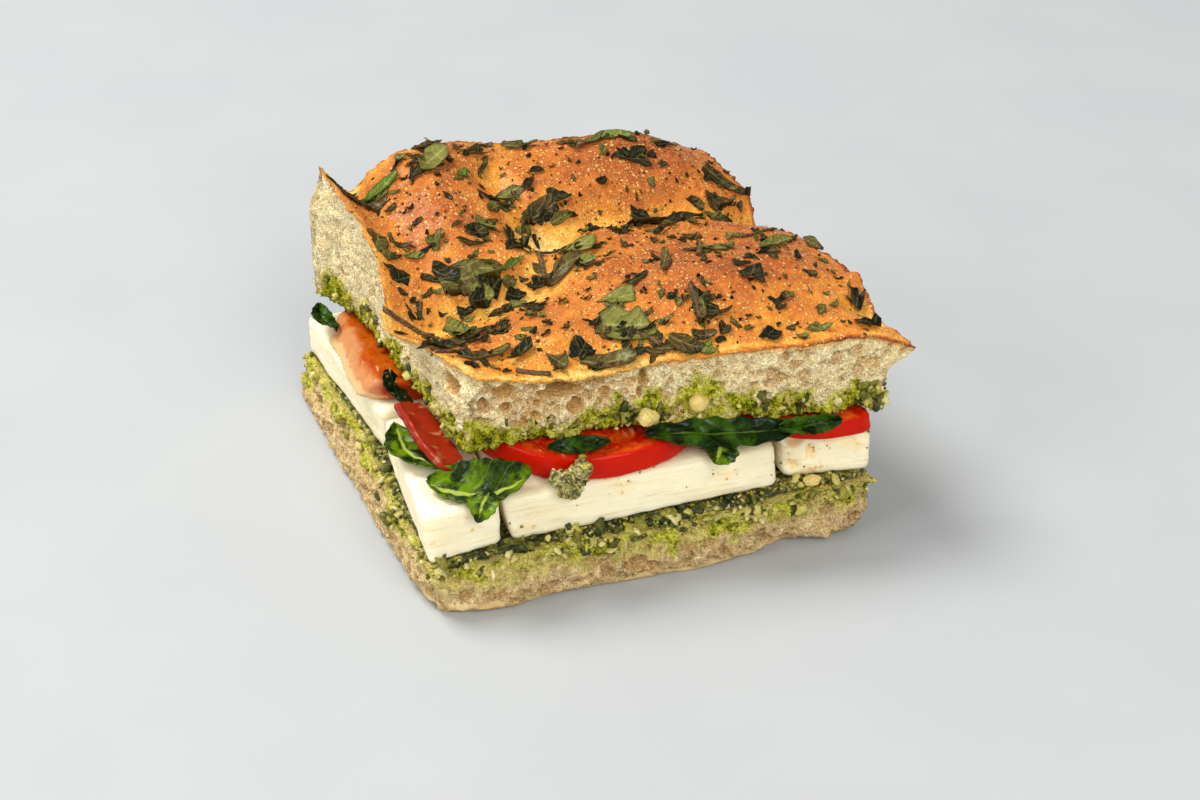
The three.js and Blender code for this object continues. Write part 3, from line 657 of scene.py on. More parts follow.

# %% [markdown]
# The crust's colour goes from pale gold in the dents and along the cut to chestnut on the domes,
# and it is painted browner towards the right, and darker along the right part of the cut rim, as painted shade.
# It is strewn with pale blisters smaller than a millimetre, which stand up a little and shine,
# and with a few dark scorched points. The crumb is cream; deep in its pores and bubbles it is
# painted darker and golden, as painted shade of the hollows, and it turns yellow-green and then
# dark green where the pesto has soaked in.

# %% The crust and crumb finish
def crumb_colour(finish, cream, shade, pit_shade=srgb(204, 150, 80)):
    """The colour of crumb, and how open it is, from the attributes of a slice."""
    pore, soak, deep, cave = [finish.attribute(name) for name in ("pore", "soak", "deep", "cave")]
    ragged = finish.bent(1.7, 1.5)
    walls = finish.cells(1.7, feature="DISTANCE_TO_EDGE", where=ragged)
    kind = finish.red(finish.cells(1.7, out="Color", where=ragged))
    fine_walls = finish.cells(0.75, feature="DISTANCE_TO_EDGE", where=ragged)
    fibre = finish.noise(0.6, 3, 0.65)
    cloud = finish.noise(5, 4, 0.6)
    pits = finish.step(0.04, 0.3, walls) * finish.step(0.1, 0.8, kind)
    pinholes = finish.step(0.06, 0.32, fine_walls)
    dark = pits * 0.5 + pinholes * 0.45
    dry = finish.mix(finish.step(0.3, 0.75, cloud * 0.5 + fibre * 0.5), shade, cream)
    # Painted shade: pore middles and deep pores take the darker, golden pit colour.
    dry = finish.mix(dark * 0.65 + 0.4 * finish.step(0.2, 0.9, pore), dry, pit_shade)
    dry = finish.mix(finish.step(0.25, 0.05, deep) * 0.6, dry, srgb(232, 164, 62))
    # Painted shade: the large bubbles are painted golden brown inside.
    dry = finish.mix(cave * (0.35 + 0.4 * cloud), dry, srgb(204, 150, 60))
    tone = finish.noise(2.0, 5, 0.75) * 0.65 + finish.noise(7, 2) * 0.35
    wet = finish.ramp(tone - dark * 0.1, [
        (0.33, srgb(40, 52, 8)), (0.4, srgb(102, 106, 12)), (0.47, srgb(172, 168, 28)), (0.56, srgb(218, 210, 84)),
        (0.66, srgb(240, 230, 168))])
    tint = finish.mix(finish.step(0.0, 0.4, soak + (fibre - 0.5) * 0.3) * 0.6, dry, srgb(208, 196, 96))
    share = finish.step(0.3, 0.95, soak + (cloud - 0.5) * 0.8 + (fibre - 0.5) * 0.8)
    return finish.mix(share, tint, wet), 0.8 * pits + 0.7 * pinholes


def bread_finish(name, cream, shade):
    finish = Finish(name, Subsurface_Weight=0.15, Subsurface_Scale=0.0014, Specular_IOR_Level=0.05,
                    Subsurface_Radius=(1.0, 0.7, 0.35), Coat_Roughness=0.16, Coat_IOR=1.35)
    crumb, openness = crumb_colour(finish, cream, shade)
    mottle = (finish.noise(4.5, 5, 0.7) - 0.5) * 0.7 + (finish.noise(1.1, 4, 0.7) - 0.5) * 0.4
    toast = finish.attribute("toast") + mottle
    crust = finish.ramp(toast, [
        (0.04, srgb(252, 220, 150)), (0.2, srgb(242, 188, 88)), (0.35, srgb(224, 146, 52)), (0.5, srgb(204, 118, 46)),
        (0.7, srgb(172, 88, 40)), (0.96, srgb(116, 58, 32))])
    blisters = []
    for size in (0.72, 1.25):
        where = finish.bent(size, 0.4 * size)
        away = finish.cells(size, where=where)
        kind = finish.red(finish.cells(size, out="Color", where=where))
        crowded = finish.step(0.35, 0.65, finish.noise(9, 2))
        spot = finish.step(0.54, 0.32, away + kind * 0.24 + 0.06 - crowded * 0.06)
        blisters.append(spot * finish.step(0.05, 0.2, kind))
    blister = finish.node("ShaderNodeMath", {"operation": "MAXIMUM"}, {0: blisters[0], 1: blisters[1]})
    crust = finish.mix(blister * 0.58, crust, srgb(252, 206, 122))
    scorch = finish.step(0.22, 0.1, finish.cells(3.6)) * finish.step(0.5, 0.56, finish.noise(2.2, 3, 0.6))
    crust = finish.mix(scorch * 0.85, crust, srgb(60, 30, 16))
    mask = finish.step(0.4, 0.6, finish.attribute("crust") + (finish.noise(0.9, 3) - 0.5) * 0.5)
    bump = finish.relief(openness * (mask - 1), 0.55)
    bump = finish.relief(finish.noise(0.5, 4, 0.7), 0.15, bump)
    bump = finish.relief(finish.noise(2.2, 4, 0.65) * mask, 0.8, bump)
    bump = finish.relief(finish.noise(0.9, 3, 0.6) * mask, 0.25, bump)
    bump = finish.relief(blister * mask, 0.3, bump)
    gloss = finish.noise(7, 3, 0.5)
    return finish.wear(Base_Color=finish.mix(mask, crumb, crust), Roughness=0.82 - mask * (0.25 + gloss * 0.3),
                       Normal=bump, Coat_Weight=mask * (0.04 + gloss * 0.3))


BREAD = bread_finish("focaccia", srgb(255, 244, 204), srgb(248, 220, 156))
serve(top_bread, ["top_focaccia"], BREAD)

# %% [markdown]
# The lower slice is built the same way, from its own rims. Its top is a cut face too, and its foot
# is the thin pale crust of the loaf's underside: smooth and rounded at the front left corner, torn
# and notched further right, where a flap hangs out. The block's flat underside stays on the floor.

# %% The lower slice of focaccia
LOWER_CELLS = (150, 124, 28)
BULGE = 0.9
TORN_FLAP = ((43.2, -54.8, 4.5), (6, 5.6, 4.8))
NOTCHES = [((33.5, -55, 1.4), (5, 2.6, 3.2)), ((-27, -55, 0.5), (3.4, 2, 2.4)), ((5, -57, 0.6), (5, 2, 2)),
           ((12, -56, 7.4), (6, 2.2, 1.2)), ((-14, -55, 8.2), (4, 2.4, 2)), ((-38, -55, 4.4), (3, 1.6, 1.4)),
           ((25, -55.5, 10.4), (3, 2.2, 1.3)), ((-1, -55.4, 4.2), (4.4, 1.9, 1.6))]

LOWER_SOAK = [
    ((-44, -54, 12), (6, 5, 3.4)), ((-14, -55, 11), (9, 5, 4)), ((4, -56, 11), (7, 5, 4.4)), ((20, -56, 11), (8, 5, 4.6)),
    ((34, -56, 12), (6, 5, 5)), ((50, -57, 13), (7, 5, 4.4)), ((-55, -30, 13), (5, 7, 2.6)), ((-56, 0, 13), (5, 9, 3)),
    ((-57, 30, 13), (5, 10, 4)), ((-58, 48, 9), (5, 5, 6)), ((57, -20, 13), (5, 14, 4)), ((52, 30, 12), (5, 12, 4))]

bottom_bread = loaf("bottom_focaccia_crumb", *LOWER_CELLS)
u, v, w, rim = shares(bottom_bread)
foot, top = LOWER_UNDER(u, v), LOWER_TOP(u, v)
uneven = 0.9 * np.clip(fractal(foot * [1, 1, 0], 8, 58.0), 0, 1)
foot[:, 2] = np.where(rim, foot[:, 2] + uneven, 0)
level = w[:, None]
places = foot * (1 - level) + top * level
on_side = rim & (w < 1 - 1e-5)
height = top[:, 2] * (1 - w)
way = side_ways(u, v)
above = places[:, 2]
near_corner = smoothstep(-28, -44, places[:, 0]) * smoothstep(-30, -50, places[:, 1])
rounded_foot = np.where(on_side, smoothstep(3.0, 0, above), 0)
crumbly = on_side * smoothstep(0.0, 1.2, above) * (1 - 0.4 * near_corner * smoothstep(7, 3, above))
pores = 0.85 * bubbles(places, on_side & (above > 1.0), 3200, 0.36, 0.95, 11)
pores += 1.3 * bubbles(places, on_side & (above > 1.4), 560, 0.8, 2.2, 12)
caves = np.zeros(len(places))
for at, half in NOTCHES:
    caves = np.maximum(caves, hollow(places, at, half) * half[1] * 1.1)
flap = hollow(places, *TORN_FLAP) * TORN_FLAP[1][1] * 0.5
torn = 0.9 * fractal(places, 3.4, 60.0) + 0.8 * fractal(places, 9, 66.0)
inward = np.maximum(pores * crumbly, caves * on_side * smoothstep(-0.3, 1.6, above))
corners = np.clip(1 - (u * 108 + v * 104) / 8, 0, 1) ** 2 + 0.6 * np.clip(1 - ((1 - u) * 108 + v * 104) / 6, 0, 1) ** 2
push = on_side * (BULGE * np.sin(math.pi * w) + flap - 1.5 * rounded_foot**2 - 1.9 * corners)
push += crumbly * torn - inward
places += way * push[:, None]
cut_face = (w > 1 - 1e-5) & ~rim
near_rim = np.minimum.reduce([u * 108, v * 104, (1 - u) * 108, (1 - v) * 104]) < 4
top_lumps = fractal(places, 2.2, 71.0)
places[:, 2] += cut_face * (0.3 * top_lumps + near_rim * 0.5 * np.abs(top_lumps) - 0.1)
places[:, 2] += rim * (w > 0.9) * 0.7 * top_lumps
settle(bottom_bread, places)

base_skin = np.where(on_side, smoothstep(2.6, 1.2, above + 1.2 * fractal(places, 4, 77.0)), 0)
base_skin = np.maximum(base_skin, near_corner * smoothstep(5, 2.5, above) * on_side)
tinge = 0.44 * smoothstep(8.5, 2, height + 2.4 * fractal(places, 5, 95.0)) * smoothstep(-0.4, 0.6, -way[:, 1] - 0.1)
soak = np.maximum(tinge, soaked(places, height, 1.7, LOWER_SOAK, 90.0))
paint(bottom_bread, "pore", np.clip(inward / 1.6, 0, 1))
paint(bottom_bread, "deep", np.ones(len(places)))
paint(bottom_bread, "skin", base_skin)
paint(bottom_bread, "soak", np.where(w > 1 - 1e-5, 0.6 + 0.4 * fractal(places, 6, 97.0), soak))
group(bottom_bread, "crumb", crumbly * (1 - 0.8 * base_skin))
roughen(bottom_bread, "CLOUDS", 0.9, 0.45, "crumb")

# %% The finish of the lower slice
def base_finish(name, cream, shade):
    """Crumb that ends below in the loaf's thin, smooth and pale golden under-crust."""
    finish = Finish(name, Subsurface_Weight=0.15, Subsurface_Scale=0.0014, Specular_IOR_Level=0.2,
                    Subsurface_Radius=(1.0, 0.7, 0.35))
    # The lower slice's pores are painted darker with this pit colour: painted shade.
    crumb, openness = crumb_colour(finish, cream, shade, srgb(176, 128, 66))
    pale = finish.mix(finish.step(0.3, 0.7, finish.noise(4, 5, 0.65)), srgb(226, 198, 142), srgb(196, 160, 104))
    share = finish.step(0.35, 0.65, finish.attribute("skin") + (finish.noise(1.2, 4) - 0.5) * 0.7)
    bump = finish.relief(openness * (share - 1), 0.55)
    bump = finish.relief(finish.noise(0.5, 4, 0.7), 0.16, bump)
    bump = finish.relief(finish.noise(2.5, 4, 0.6) * share, 0.5, bump)
    colour = finish.mix(share * 0.5, crumb, pale)
    return finish.wear(Base_Color=colour, Roughness=0.82 - 0.25 * share, Normal=bump)


BASE = base_finish("focaccia_base", srgb(244, 220, 166), srgb(208, 172, 112))
serve(bottom_bread, ["bottom_focaccia"], BASE)

# %% [markdown]
# Mozzarella comes in slabs that a knife has cut. Each starts as a cube whose corners are moved to
# the slab's own corners; its edges are bevelled, and a voxel remesh gives it an even skin of small
# faces. On the cut fronts the cheese shows its stretched layers as fine level lines, so the sides
# are pushed in and out by a pattern that is long across and short upwards.

# %% The mozzarella slabs
REST, PESTO_THICK, PESTO_WAVE = 0.55, 1.3, 0.16
CHEESE_TOP, CHEESE_SLOPE = 27.5, 0.014
MOZZARELLA = {
    "front_left": ([(-53.2, -52), (-35, -50.4), (-33.8, -6), (-50.4, -6.8)], [(-1, 1.8), (-0.2, 0.8), (0, 0), (-0.6, 0)]),
    "front_middle": ([(-32.8, -50.6), (33.2, -52.8), (32.8, -6), (-32.8, -5.6)], [(-2, 0.4), (-0.4, 1.4), (0, 0), (0, 0)]),
    "right": ([(35.4, -51.4), (57, -55), (55, -5), (34.6, -6)], [(-0.2, 3), (0, 0.8), (0, 0), (0, 0)]),
    "back_left": ([(-50.6, -3.6), (-3, -3.2), (-3.2, 47), (-56.6, 50.4)], [(-0.4, 0), (0, 0), (0, 0), (-0.4, -1)]),
    "back_right": ([(-1.4, -3.4), (53.4, -2.6), (49.4, 45), (-1.8, 47)], [(0, 0), (0, 0), (-0.6, -0.6), (0, -0.6)])}
SLAB_ROUND = {"front_left": 1.3, "front_middle": 1.6, "right": 2.2, "back_left": 1.4, "back_right": 1.6}
SLAB_VOXEL = 0.75


def cheese_top(x):
    return CHEESE_TOP + CHEESE_SLOPE * x


def slab(name, plan, lean):
    bpy.ops.object.select_all(action="DESELECT")
    bpy.ops.mesh.primitive_cube_add(size=2)
    piece = start(f"mozzarella_slab_{name}")
    corners = spots(piece)
    order = {(-1, -1): 0, (1, -1): 1, (1, 1): 2, (-1, 1): 3}
    for index, (x, y, z) in enumerate(corners.round().astype(int)):
        corner = order[(x, y)]
        px, py = np.array(plan[corner]) + (np.array(lean[corner]) if z > 0 else 0)
        foot = height_at(LOWER_TOP, px, py) + REST + PESTO_THICK
        corners[index] = (px, py, cheese_top(px) if z > 0 else foot)
    settle(piece, corners)
    modify(piece, "BEVEL", width=SLAB_ROUND[name] * MM, segments=4, limit_method="NONE")
    modify(piece, "REMESH", mode="VOXEL", voxel_size=SLAB_VOXEL * MM)
    modify(piece, "SMOOTH", iterations=3, factor=0.5)
    places, way = measured(piece), normals(piece)
    side = 1 - smoothstep(0.5, 0.9, np.abs(way[:, 2]))
    layers = fractal(places * [0.06, 0.06, 1], 0.9, 100.0)
    swell = fractal(places, 11, 104.0)
    push = side * 0.16 * layers + 0.3 * swell + 0.12 * fractal(places, 3, 107.0)
    if name == "right":
        tear = np.maximum(hollow(places, (38, -51, 26.8), (3, 5, 2)), hollow(places, (42, -52.6, 24), (1.6, 3, 3)))
        tear = np.maximum(tear, hollow(places, (37, -52, 20.6), (2.6, 3, 1.2)))
        push = push - 2.2 * tear
        paint(piece, "stain", np.clip(0.3 + 0.6 * fractal(places, 6, 111.0) + tear, 0, 1))
    else:
        damp = smoothstep(0.25, 0.8, fractal(places * [0.35, 0.35, 1], 4.5, 115.0) + 0.25)
        paint(piece, "stain", 0.45 * damp)
    settle(piece, places + way * push[:, None])
    paint(piece, "cut", side)
    return piece

# %% The finish of the mozzarella
def cheese_finish():
    finish = Finish("mozzarella", Subsurface_Weight=0.5, Subsurface_Scale=0.0025, Specular_IOR_Level=0.35,
                    Subsurface_Radius=(1.0, 0.85, 0.6), Coat_Roughness=0.25)
    cut, stain = finish.attribute("cut"), finish.attribute("stain")
    level = finish.stretched(0.05, 0.05, 1)
    lines = finish.noise(0.7, 4, 0.6, where=level)
    body = finish.mix(finish.noise(9, 3), srgb(254, 242, 212), srgb(247, 230, 186))
    body = finish.mix(finish.step(0.5, 0.75, lines) * cut * 0.55, body, srgb(222, 196, 138))
    oil = finish.step(0.45, 0.8, finish.noise(2.4, 4, 0.7, where=finish.stretched(0.5, 0.5, 1)) * 0.6 + stain * 0.6)
    body = finish.mix(oil * 0.4, body, srgb(244, 200, 84))
    drops = finish.step(0.42, 0.24, finish.cells(1.5, where=finish.bent(0.8, 0.7))) * finish.step(0.2, 0.5, stain)
    body = finish.mix(drops * finish.step(0.45, 0.6, finish.noise(3.4, 2)) * 0.75, body, srgb(216, 172, 40))
    speck = finish.step(0.12, 0.06, finish.cells(2.3)) * finish.step(0.58, 0.66, finish.noise(3, 2))
    body = finish.mix(speck * 0.85, body, srgb(92, 96, 36))
    bump = finish.relief(lines * cut, 0.25)
    bump = finish.relief(finish.noise(1.5, 4, 0.6), 0.18, bump)
    wet = finish.noise(6, 3)
    return finish.wear(Base_Color=body, Roughness=0.55 - wet * 0.3, Normal=bump, Coat_Weight=oil * 0.5)


CHEESE = cheese_finish()
slabs = {name: slab(name, plan, lean) for name, (plan, lean) in MOZZARELLA.items()}
for name, piece in slabs.items():
    serve(piece, [f"mozzarella_{name}"], CHEESE)

# %% [markdown]
# A tomato slice is a disc with a bulging skin. By hand: a flat cylinder, its rim edges bevelled,
# its faces inset ring by ring so that the flesh has vertices to move. Where the sandwich's side
# runs through a slice, the disc is bisected and the cut closed. Under the skin runs pale pith, and
# the flesh is wet. How far a vertex is from the skin is stored for the material.

# %% The tomato slices
TOMATO = {
    "front": dict(at=(-5, -22), radius=29.6, thick=6.8),
    "right": dict(at=(50, -33.4), radius=22, thick=5.6, cut=56, side=1, lean=0.4),
    "back_left": dict(at=(-38, 20), radius=22.4, thick=5.6, cut=-54.6, side=-1, lean=4.6),
    "back_right": dict(at=(25, 27.6), radius=20, thick=5.2)}
TOMATO_SIDES = 160
FLESH_RINGS = 16


def slice_of_tomato(name, at, radius, thick, cut=None, side=0, lean=0):
    foot = cheese_top(at[0])
    middle = (np.array([*at, foot + thick / 2]) + SHIFT) * MM
    bpy.ops.object.select_all(action="DESELECT")
    bpy.ops.mesh.primitive_cylinder_add(vertices=TOMATO_SIDES, radius=radius * MM, depth=thick * MM,
                                        end_fill_type="NGON", location=middle,
                                        rotation=(0, -math.atan(CHEESE_SLOPE), 0))
    piece = start(f"tomato_slice_{name}")
    modify(piece, "BEVEL", width=1.3 * MM, segments=4, limit_method="ANGLE")
    bpy.ops.object.mode_set(mode="EDIT")
    bpy.ops.mesh.select_mode(type="FACE")
    bpy.ops.mesh.select_all(action="DESELECT")
    bpy.ops.object.mode_set(mode="OBJECT")
    for face in piece.data.polygons:
        face.select = len(face.vertices) > 4
    bpy.ops.object.mode_set(mode="EDIT")
    for _ in range(FLESH_RINGS):
        bpy.ops.mesh.inset(thickness=radius / (FLESH_RINGS + 2) * MM)
    bpy.ops.mesh.select_all(action="SELECT")
    if cut is not None:
        spot = (np.array([cut, at[1], foot]) + SHIFT) * MM
        tilt = math.atan2(lean, thick)
        bpy.ops.mesh.bisect(plane_co=spot, plane_no=(side * math.cos(tilt), 0, math.sin(tilt)),
                            use_fill=True, clear_outer=True)
        bpy.ops.mesh.select_all(action="SELECT")
    bpy.ops.mesh.normals_make_consistent(inside=False)
    bpy.ops.object.mode_set(mode="OBJECT")
    modify(piece, "REMESH", mode="VOXEL", voxel_size=0.6 * MM)
    modify(piece, "SMOOTH", iterations=4, factor=0.5)
    places, way = measured(piece), normals(piece)
    out = np.hypot(places[:, 0] - at[0], places[:, 1] - at[1]) / radius
    flesh = smoothstep(0.96, 0.88, out) * smoothstep(0.5, 0.8, np.abs(way[:, 2]))
    push = 0.3 * fractal(places, 9, 120.0) + flesh * 0.16 * fractal(places, 2.6, 124.0)
    settle(piece, places + way * push[:, None])
    paint(piece, "out", out)
    low = smoothstep(3.4, 0.8, places[:, 2] - foot + 1.2 * fractal(places, 4, 128.0))
    pith_and_sheen = low * smoothstep(0.2, 0.6, side * way[:, 0])
    ragged = places[:, 0] + 2.2 * fractal(places, 5, 131.0)
    pith_and_sheen = np.maximum(0.75 * pith_and_sheen, 0.49 * smoothstep(-43.5, -52, ragged))
    paint(piece, "pith_and_sheen", pith_and_sheen * (name == "back_left"))
    return piece

# %% The finish of the tomato
def tomato_finish(name, red, deep, pale, streaky):
    finish = Finish(name, Subsurface_Weight=0.12, Subsurface_Scale=0.0016, Subsurface_Radius=(1.0, 0.2, 0.05),
                    Specular_IOR_Level=0.06, Coat_Roughness=0.08, Coat_IOR=1.35)
    out, pith_and_sheen = finish.attribute("out"), finish.attribute("pith_and_sheen")
    cloud = finish.noise(5, 4, 0.6)
    skin = finish.mix(cloud, red, deep)
    flesh = finish.mix(finish.step(0.35, 0.7, finish.noise(3, 4, 0.65, warp=0.6)), deep, pale)
    fleshy = finish.step(0.99, 0.95, out + (cloud - 0.5) * 0.04)
    body = finish.mix(fleshy, skin, flesh)
    streak = finish.step(0.62 - 0.1 * streaky, 0.7, finish.noise(1.8, 4, 0.6, where=finish.stretched(1, 0.25, 1)))
    body = finish.mix(streak * fleshy * (0.45 + 0.4 * streaky), body, srgb(240, 196, 140))
    # Pale pith on the slices; on the tomato strip the same mark is a painted sheen.
    body = finish.mix(finish.step(0.3, 0.7, pith_and_sheen) * 0.75, body, srgb(224, 188, 132))
    bump = finish.relief(finish.noise(0.9, 4, 0.6) * (fleshy * 0.8 + 0.2), 0.14)
    return finish.wear(Base_Color=body, Roughness=0.22 + finish.noise(2, 3) * 0.2, Normal=bump,
                       Coat_Weight=0.05 + 0.25 * cloud)


RED_TOMATO = tomato_finish("tomato_red", srgb(216, 30, 0), srgb(176, 14, 0), srgb(214, 84, 20), 0.1)
PALE_TOMATO = tomato_finish("tomato_orange", srgb(168, 34, 0), srgb(166, 58, 0), srgb(184, 92, 14), 0)
for name, size in TOMATO.items():
    looks = PALE_TOMATO if name == "back_left" else RED_TOMATO
    serve(slice_of_tomato(name, **size), [f"tomato_{name}"], looks)

# %% [markdown]
# A basil leaf is a thin blade along its midrib. It starts as a grid whose length runs along the
# rib and whose width spans the leaf. Real basil is quilted: between the side veins the leaf bulges
# up, and the midrib lies in a groove. The same rule makes the torn strip of tomato, only thicker.
# Solidify gives the blade its thickness.

# %% Leaves and the tomato strip
LEAVES = {
    "front_left": dict(rib=[(-49.4, -40, 29), (-38, -46.4, 30), (-27, -47.6, 31.4)], width=12, cup=1.4, turn=24,
                       blunt=0.6, rib_at=-0.55, painted_shade=0.66),
    "front_lobe": dict(rib=[(-37.6, -50, 30), (-40.4, -53.4, 29.4), (-42, -54.6, 25.6)], width=7.4, cup=0.5, turn=0, blunt=0.9),
    "left": dict(rib=[(-50, -14, 28.8), (-50.4, -26, 28.8), (-44, -36.4, 28.6)], width=9, cup=1, turn=-6, blunt=0.7),
    "fold": dict(rib=[(-22, -45.2, 35.6), (-15, -47.4, 36), (-8, -48.4, 36)], width=4.6, cup=0.5, turn=24, blunt=0.6),
    "long": dict(rib=[(0.4, -48.4, 36.4), (12, -51, 35.4), (25, -53.8, 34.6), (38, -56.4, 34.8)], width=7.4, cup=0.7, turn=34,
                 blunt=0.5, wave=0.5),
    "tip": dict(rib=[(17.4, -52.6, 33.2), (17, -54.4, 32), (16, -55.2, 28.6)], width=9, cup=0.5, turn=0, blunt=0.9),
    "right": dict(rib=[(31, -56, 35.8), (38.4, -57.6, 36), (46, -58, 35.8)], width=4.6, cup=0.3, turn=40, blunt=0.45, wave=0.6),
    "back_left": dict(rib=[(-54.6, 44.6, 31.8), (-54.8, 38, 31), (-53, 31, 31.6)], width=6.4, cup=0.6, turn=-20, blunt=0.7),
    "hollow": dict(rib=[(-47, 3, 33.8), (-46.8, -4, 31), (-45.6, -10.4, 30.6)], width=6.4, cup=0.6, turn=-30,
                   blunt=0.34, painted_shade=0.8)}
TOMATO_STRIP = dict(rib=[(-46.6, -12.4, 33), (-45.4, -22, 32.4), (-44.6, -31, 31.6), (-43.2, -39.4, 30.8)],
                    width=8.4, cup=0.8, turn=-18, blunt=0.13)
SIDE_VEINS = 5


def blade(name, rib, width, cup, turn, blunt, thick, quilt, rib_at=0.0, wave=0.35,
          painted_shade=-1.0):
    bpy.ops.object.select_all(action="DESELECT")
    bpy.ops.mesh.primitive_grid_add(x_subdivisions=72, y_subdivisions=36, size=1, location=(0.5, 0.5, 0))
    piece = start(name)
    u, v, _ = spots(piece).T
    curve = through(rib)
    centre = curve(u)
    tangent = curve(np.clip(u + 0.01, 0, 1)) - curve(np.clip(u - 0.01, 0, 1))
    tangent /= np.linalg.norm(tangent, axis=1)[:, None]
    side = np.cross((0, 0, 1), tangent)
    side /= np.linalg.norm(side, axis=1)[:, None]
    face = np.cross(tangent, side)
    angle = math.radians(turn)
    side, face = side * math.cos(angle) + face * math.sin(angle), face * math.cos(angle) - side * math.sin(angle)
    across = (v - 0.5) * 2
    from_rib = across - rib_at
    half = width / 2 * np.maximum(np.sin(math.pi * u) ** blunt, 0.06)
    edge = 1 + 0.17 * wave * np.sin(40 * u + 9 * v)
    vein = u * SIDE_VEINS - 0.9 * np.abs(from_rib) + 0.25 * fractal(centre, 6, 140.0)
    lift = cup * across**2 + quilt * (np.abs(np.sin(math.pi * vein)) - 0.5) * (1 - across**2)
    lift -= quilt * 0.9 * np.exp(-((from_rib / 0.1) ** 2))
    lift += wave * np.sin(centre[:, 0] / 2 + 4 * across) * np.cos(centre[:, 1] / 2.3)
    settle(piece, centre + side * (across * half * edge)[:, None] + face * lift[:, None])
    paint(piece, "along", u)
    paint(piece, "across", from_rib)
    paint(piece, "out", np.full(len(u), 1.1))
    # On the tomato strip these pale patches are a painted sheen.
    paint(piece, "pith_and_sheen", 0.46 * smoothstep(-0.3, 0.7, fractal(centre + side * across[:, None] * 2, 3, 142.0)))
    # Painted shade: a dark band across the leaf, at this share of its length, where the bread above shades it.
    paint(piece, "painted_shade", np.exp(-(((u - painted_shade) / 0.15) ** 2)))
    modify(piece, "SOLIDIFY", thickness=thick * MM, offset=0)
    return piece

# %% The finish of the basil
def basil_finish(name, leaf, light, vein_colour, rib_width=0.11):
    finish = Finish(name, Subsurface_Weight=0.1, Subsurface_Scale=0.001, Subsurface_Radius=(0.4, 1.0, 0.1),
                    Specular_IOR_Level=0.06, Coat_Roughness=0.1, Coat_IOR=1.35)
    along, across = finish.attribute("along"), finish.attribute("across")
    wide = finish.absolute(across)
    wobble = (finish.noise(4, 3) - 0.5) * 0.3
    phase = along * SIDE_VEINS - wide * 0.9 + wobble
    ridge = finish.absolute(finish.node("ShaderNodeMath", {"operation": "SINE"}, {0: phase * math.pi}))
    side_vein = finish.step(0.2, 0.05, ridge)
    midrib = finish.step(rib_width, rib_width / 2, wide + (along - 0.4) * 0.05)
    net = finish.step(0.12, 0.02, finish.cells(1.5, feature="DISTANCE_TO_EDGE", where=finish.place))
    veins = finish.node("ShaderNodeMath", {"operation": "MAXIMUM"}, {0: midrib, 1: side_vein * 0.16})
    # The noise mixes near-black and bright green: partly the leaf's own mottling, partly painted highlights and painted
    # shade.
    body = finish.mix(finish.step(0.42, 0.62, finish.noise(5, 4, 0.6)), leaf, light)
    # Painted shade: the leaf is darkened towards near-black where the bread above shades it.
    body = finish.mix(finish.attribute("painted_shade") * 0.85, body, srgb(10, 30, 2))
    body = finish.mix(net * 0.03, body, vein_colour)
    body = finish.mix(veins * 0.65, body, vein_colour)
    bump = finish.relief(finish.noise(1.2, 3, 0.6), 0.15)
    bump = finish.relief(1 - net, 0.025, bump)
    return finish.wear(Base_Color=body, Roughness=0.35 + finish.noise(3, 3) * 0.25, Normal=bump,
                       Coat_Weight=0.5 * finish.step(0.42, 0.66, finish.noise(3, 2)))


FRESH = basil_finish("basil_fresh", srgb(10, 34, 0), srgb(92, 122, 0), srgb(186, 200, 84), 0.16)
WILTED = basil_finish("basil_wilted", srgb(8, 26, 2), srgb(46, 78, 4), srgb(84, 108, 22))
# A near-black copy of the basil finish for the leaf in the hollow under the bread: painted shade.
SHADED_BASIL = basil_finish("basil_painted_shade", srgb(6, 16, 2), srgb(20, 34, 4), srgb(40, 52, 12))
LEAF_LOOKS = {"front_left": FRESH, "front_lobe": FRESH, "tip": FRESH, "left": FRESH, "hollow": SHADED_BASIL}
leaves = {}
for name, size in LEAVES.items():
    leaf = leaves[name] = blade(f"basil_leaf_{name}", **size, thick=0.35, quilt=0.38)
    serve(leaf, [f"basil_{name}"], LEAF_LOOKS.get(name, WILTED))
# The strip's reds are darker than the slices': partly the skin's dull colour, partly painted shade.
STRIP = tomato_finish("tomato_strip", srgb(160, 42, 14), srgb(118, 30, 14), srgb(150, 50, 30), 0)
strip = blade("tomato_strip_torn", **TOMATO_STRIP, thick=1.9, quilt=0, wave=0.16)
serve(strip, ["tomato_strip"], STRIP)

# %% [markdown]
# Pesto is chopped basil, oil, cheese and nuts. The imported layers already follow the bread, so each
# is copied and merged, remeshed to small even faces, and pushed about by clouds of two sizes.

# %% The pesto layers and the blob
def pesto_piece(name, node, voxel, coarse, fine):
    bpy.ops.object.select_all(action="DESELECT")
    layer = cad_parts[node].copy()
    layer.data = layer.data.copy()
    layer.parent = None
    for key in list(layer.keys()):
        del layer[key]
    bpy.context.scene.collection.objects.link(layer)
    layer.name = layer.data.name = name
    only(layer)
    bpy.ops.object.mode_set(mode="EDIT")
    bpy.ops.mesh.select_all(action="SELECT")
    bpy.ops.mesh.remove_doubles(threshold=0.00001)
    bpy.ops.object.mode_set(mode="OBJECT")
    modify(layer, "REMESH", mode="VOXEL", voxel_size=voxel * MM)
    roughen(layer, "CLOUDS", 4.0, coarse)
    roughen(layer, "CLOUDS", 1.0, fine)
    return layer


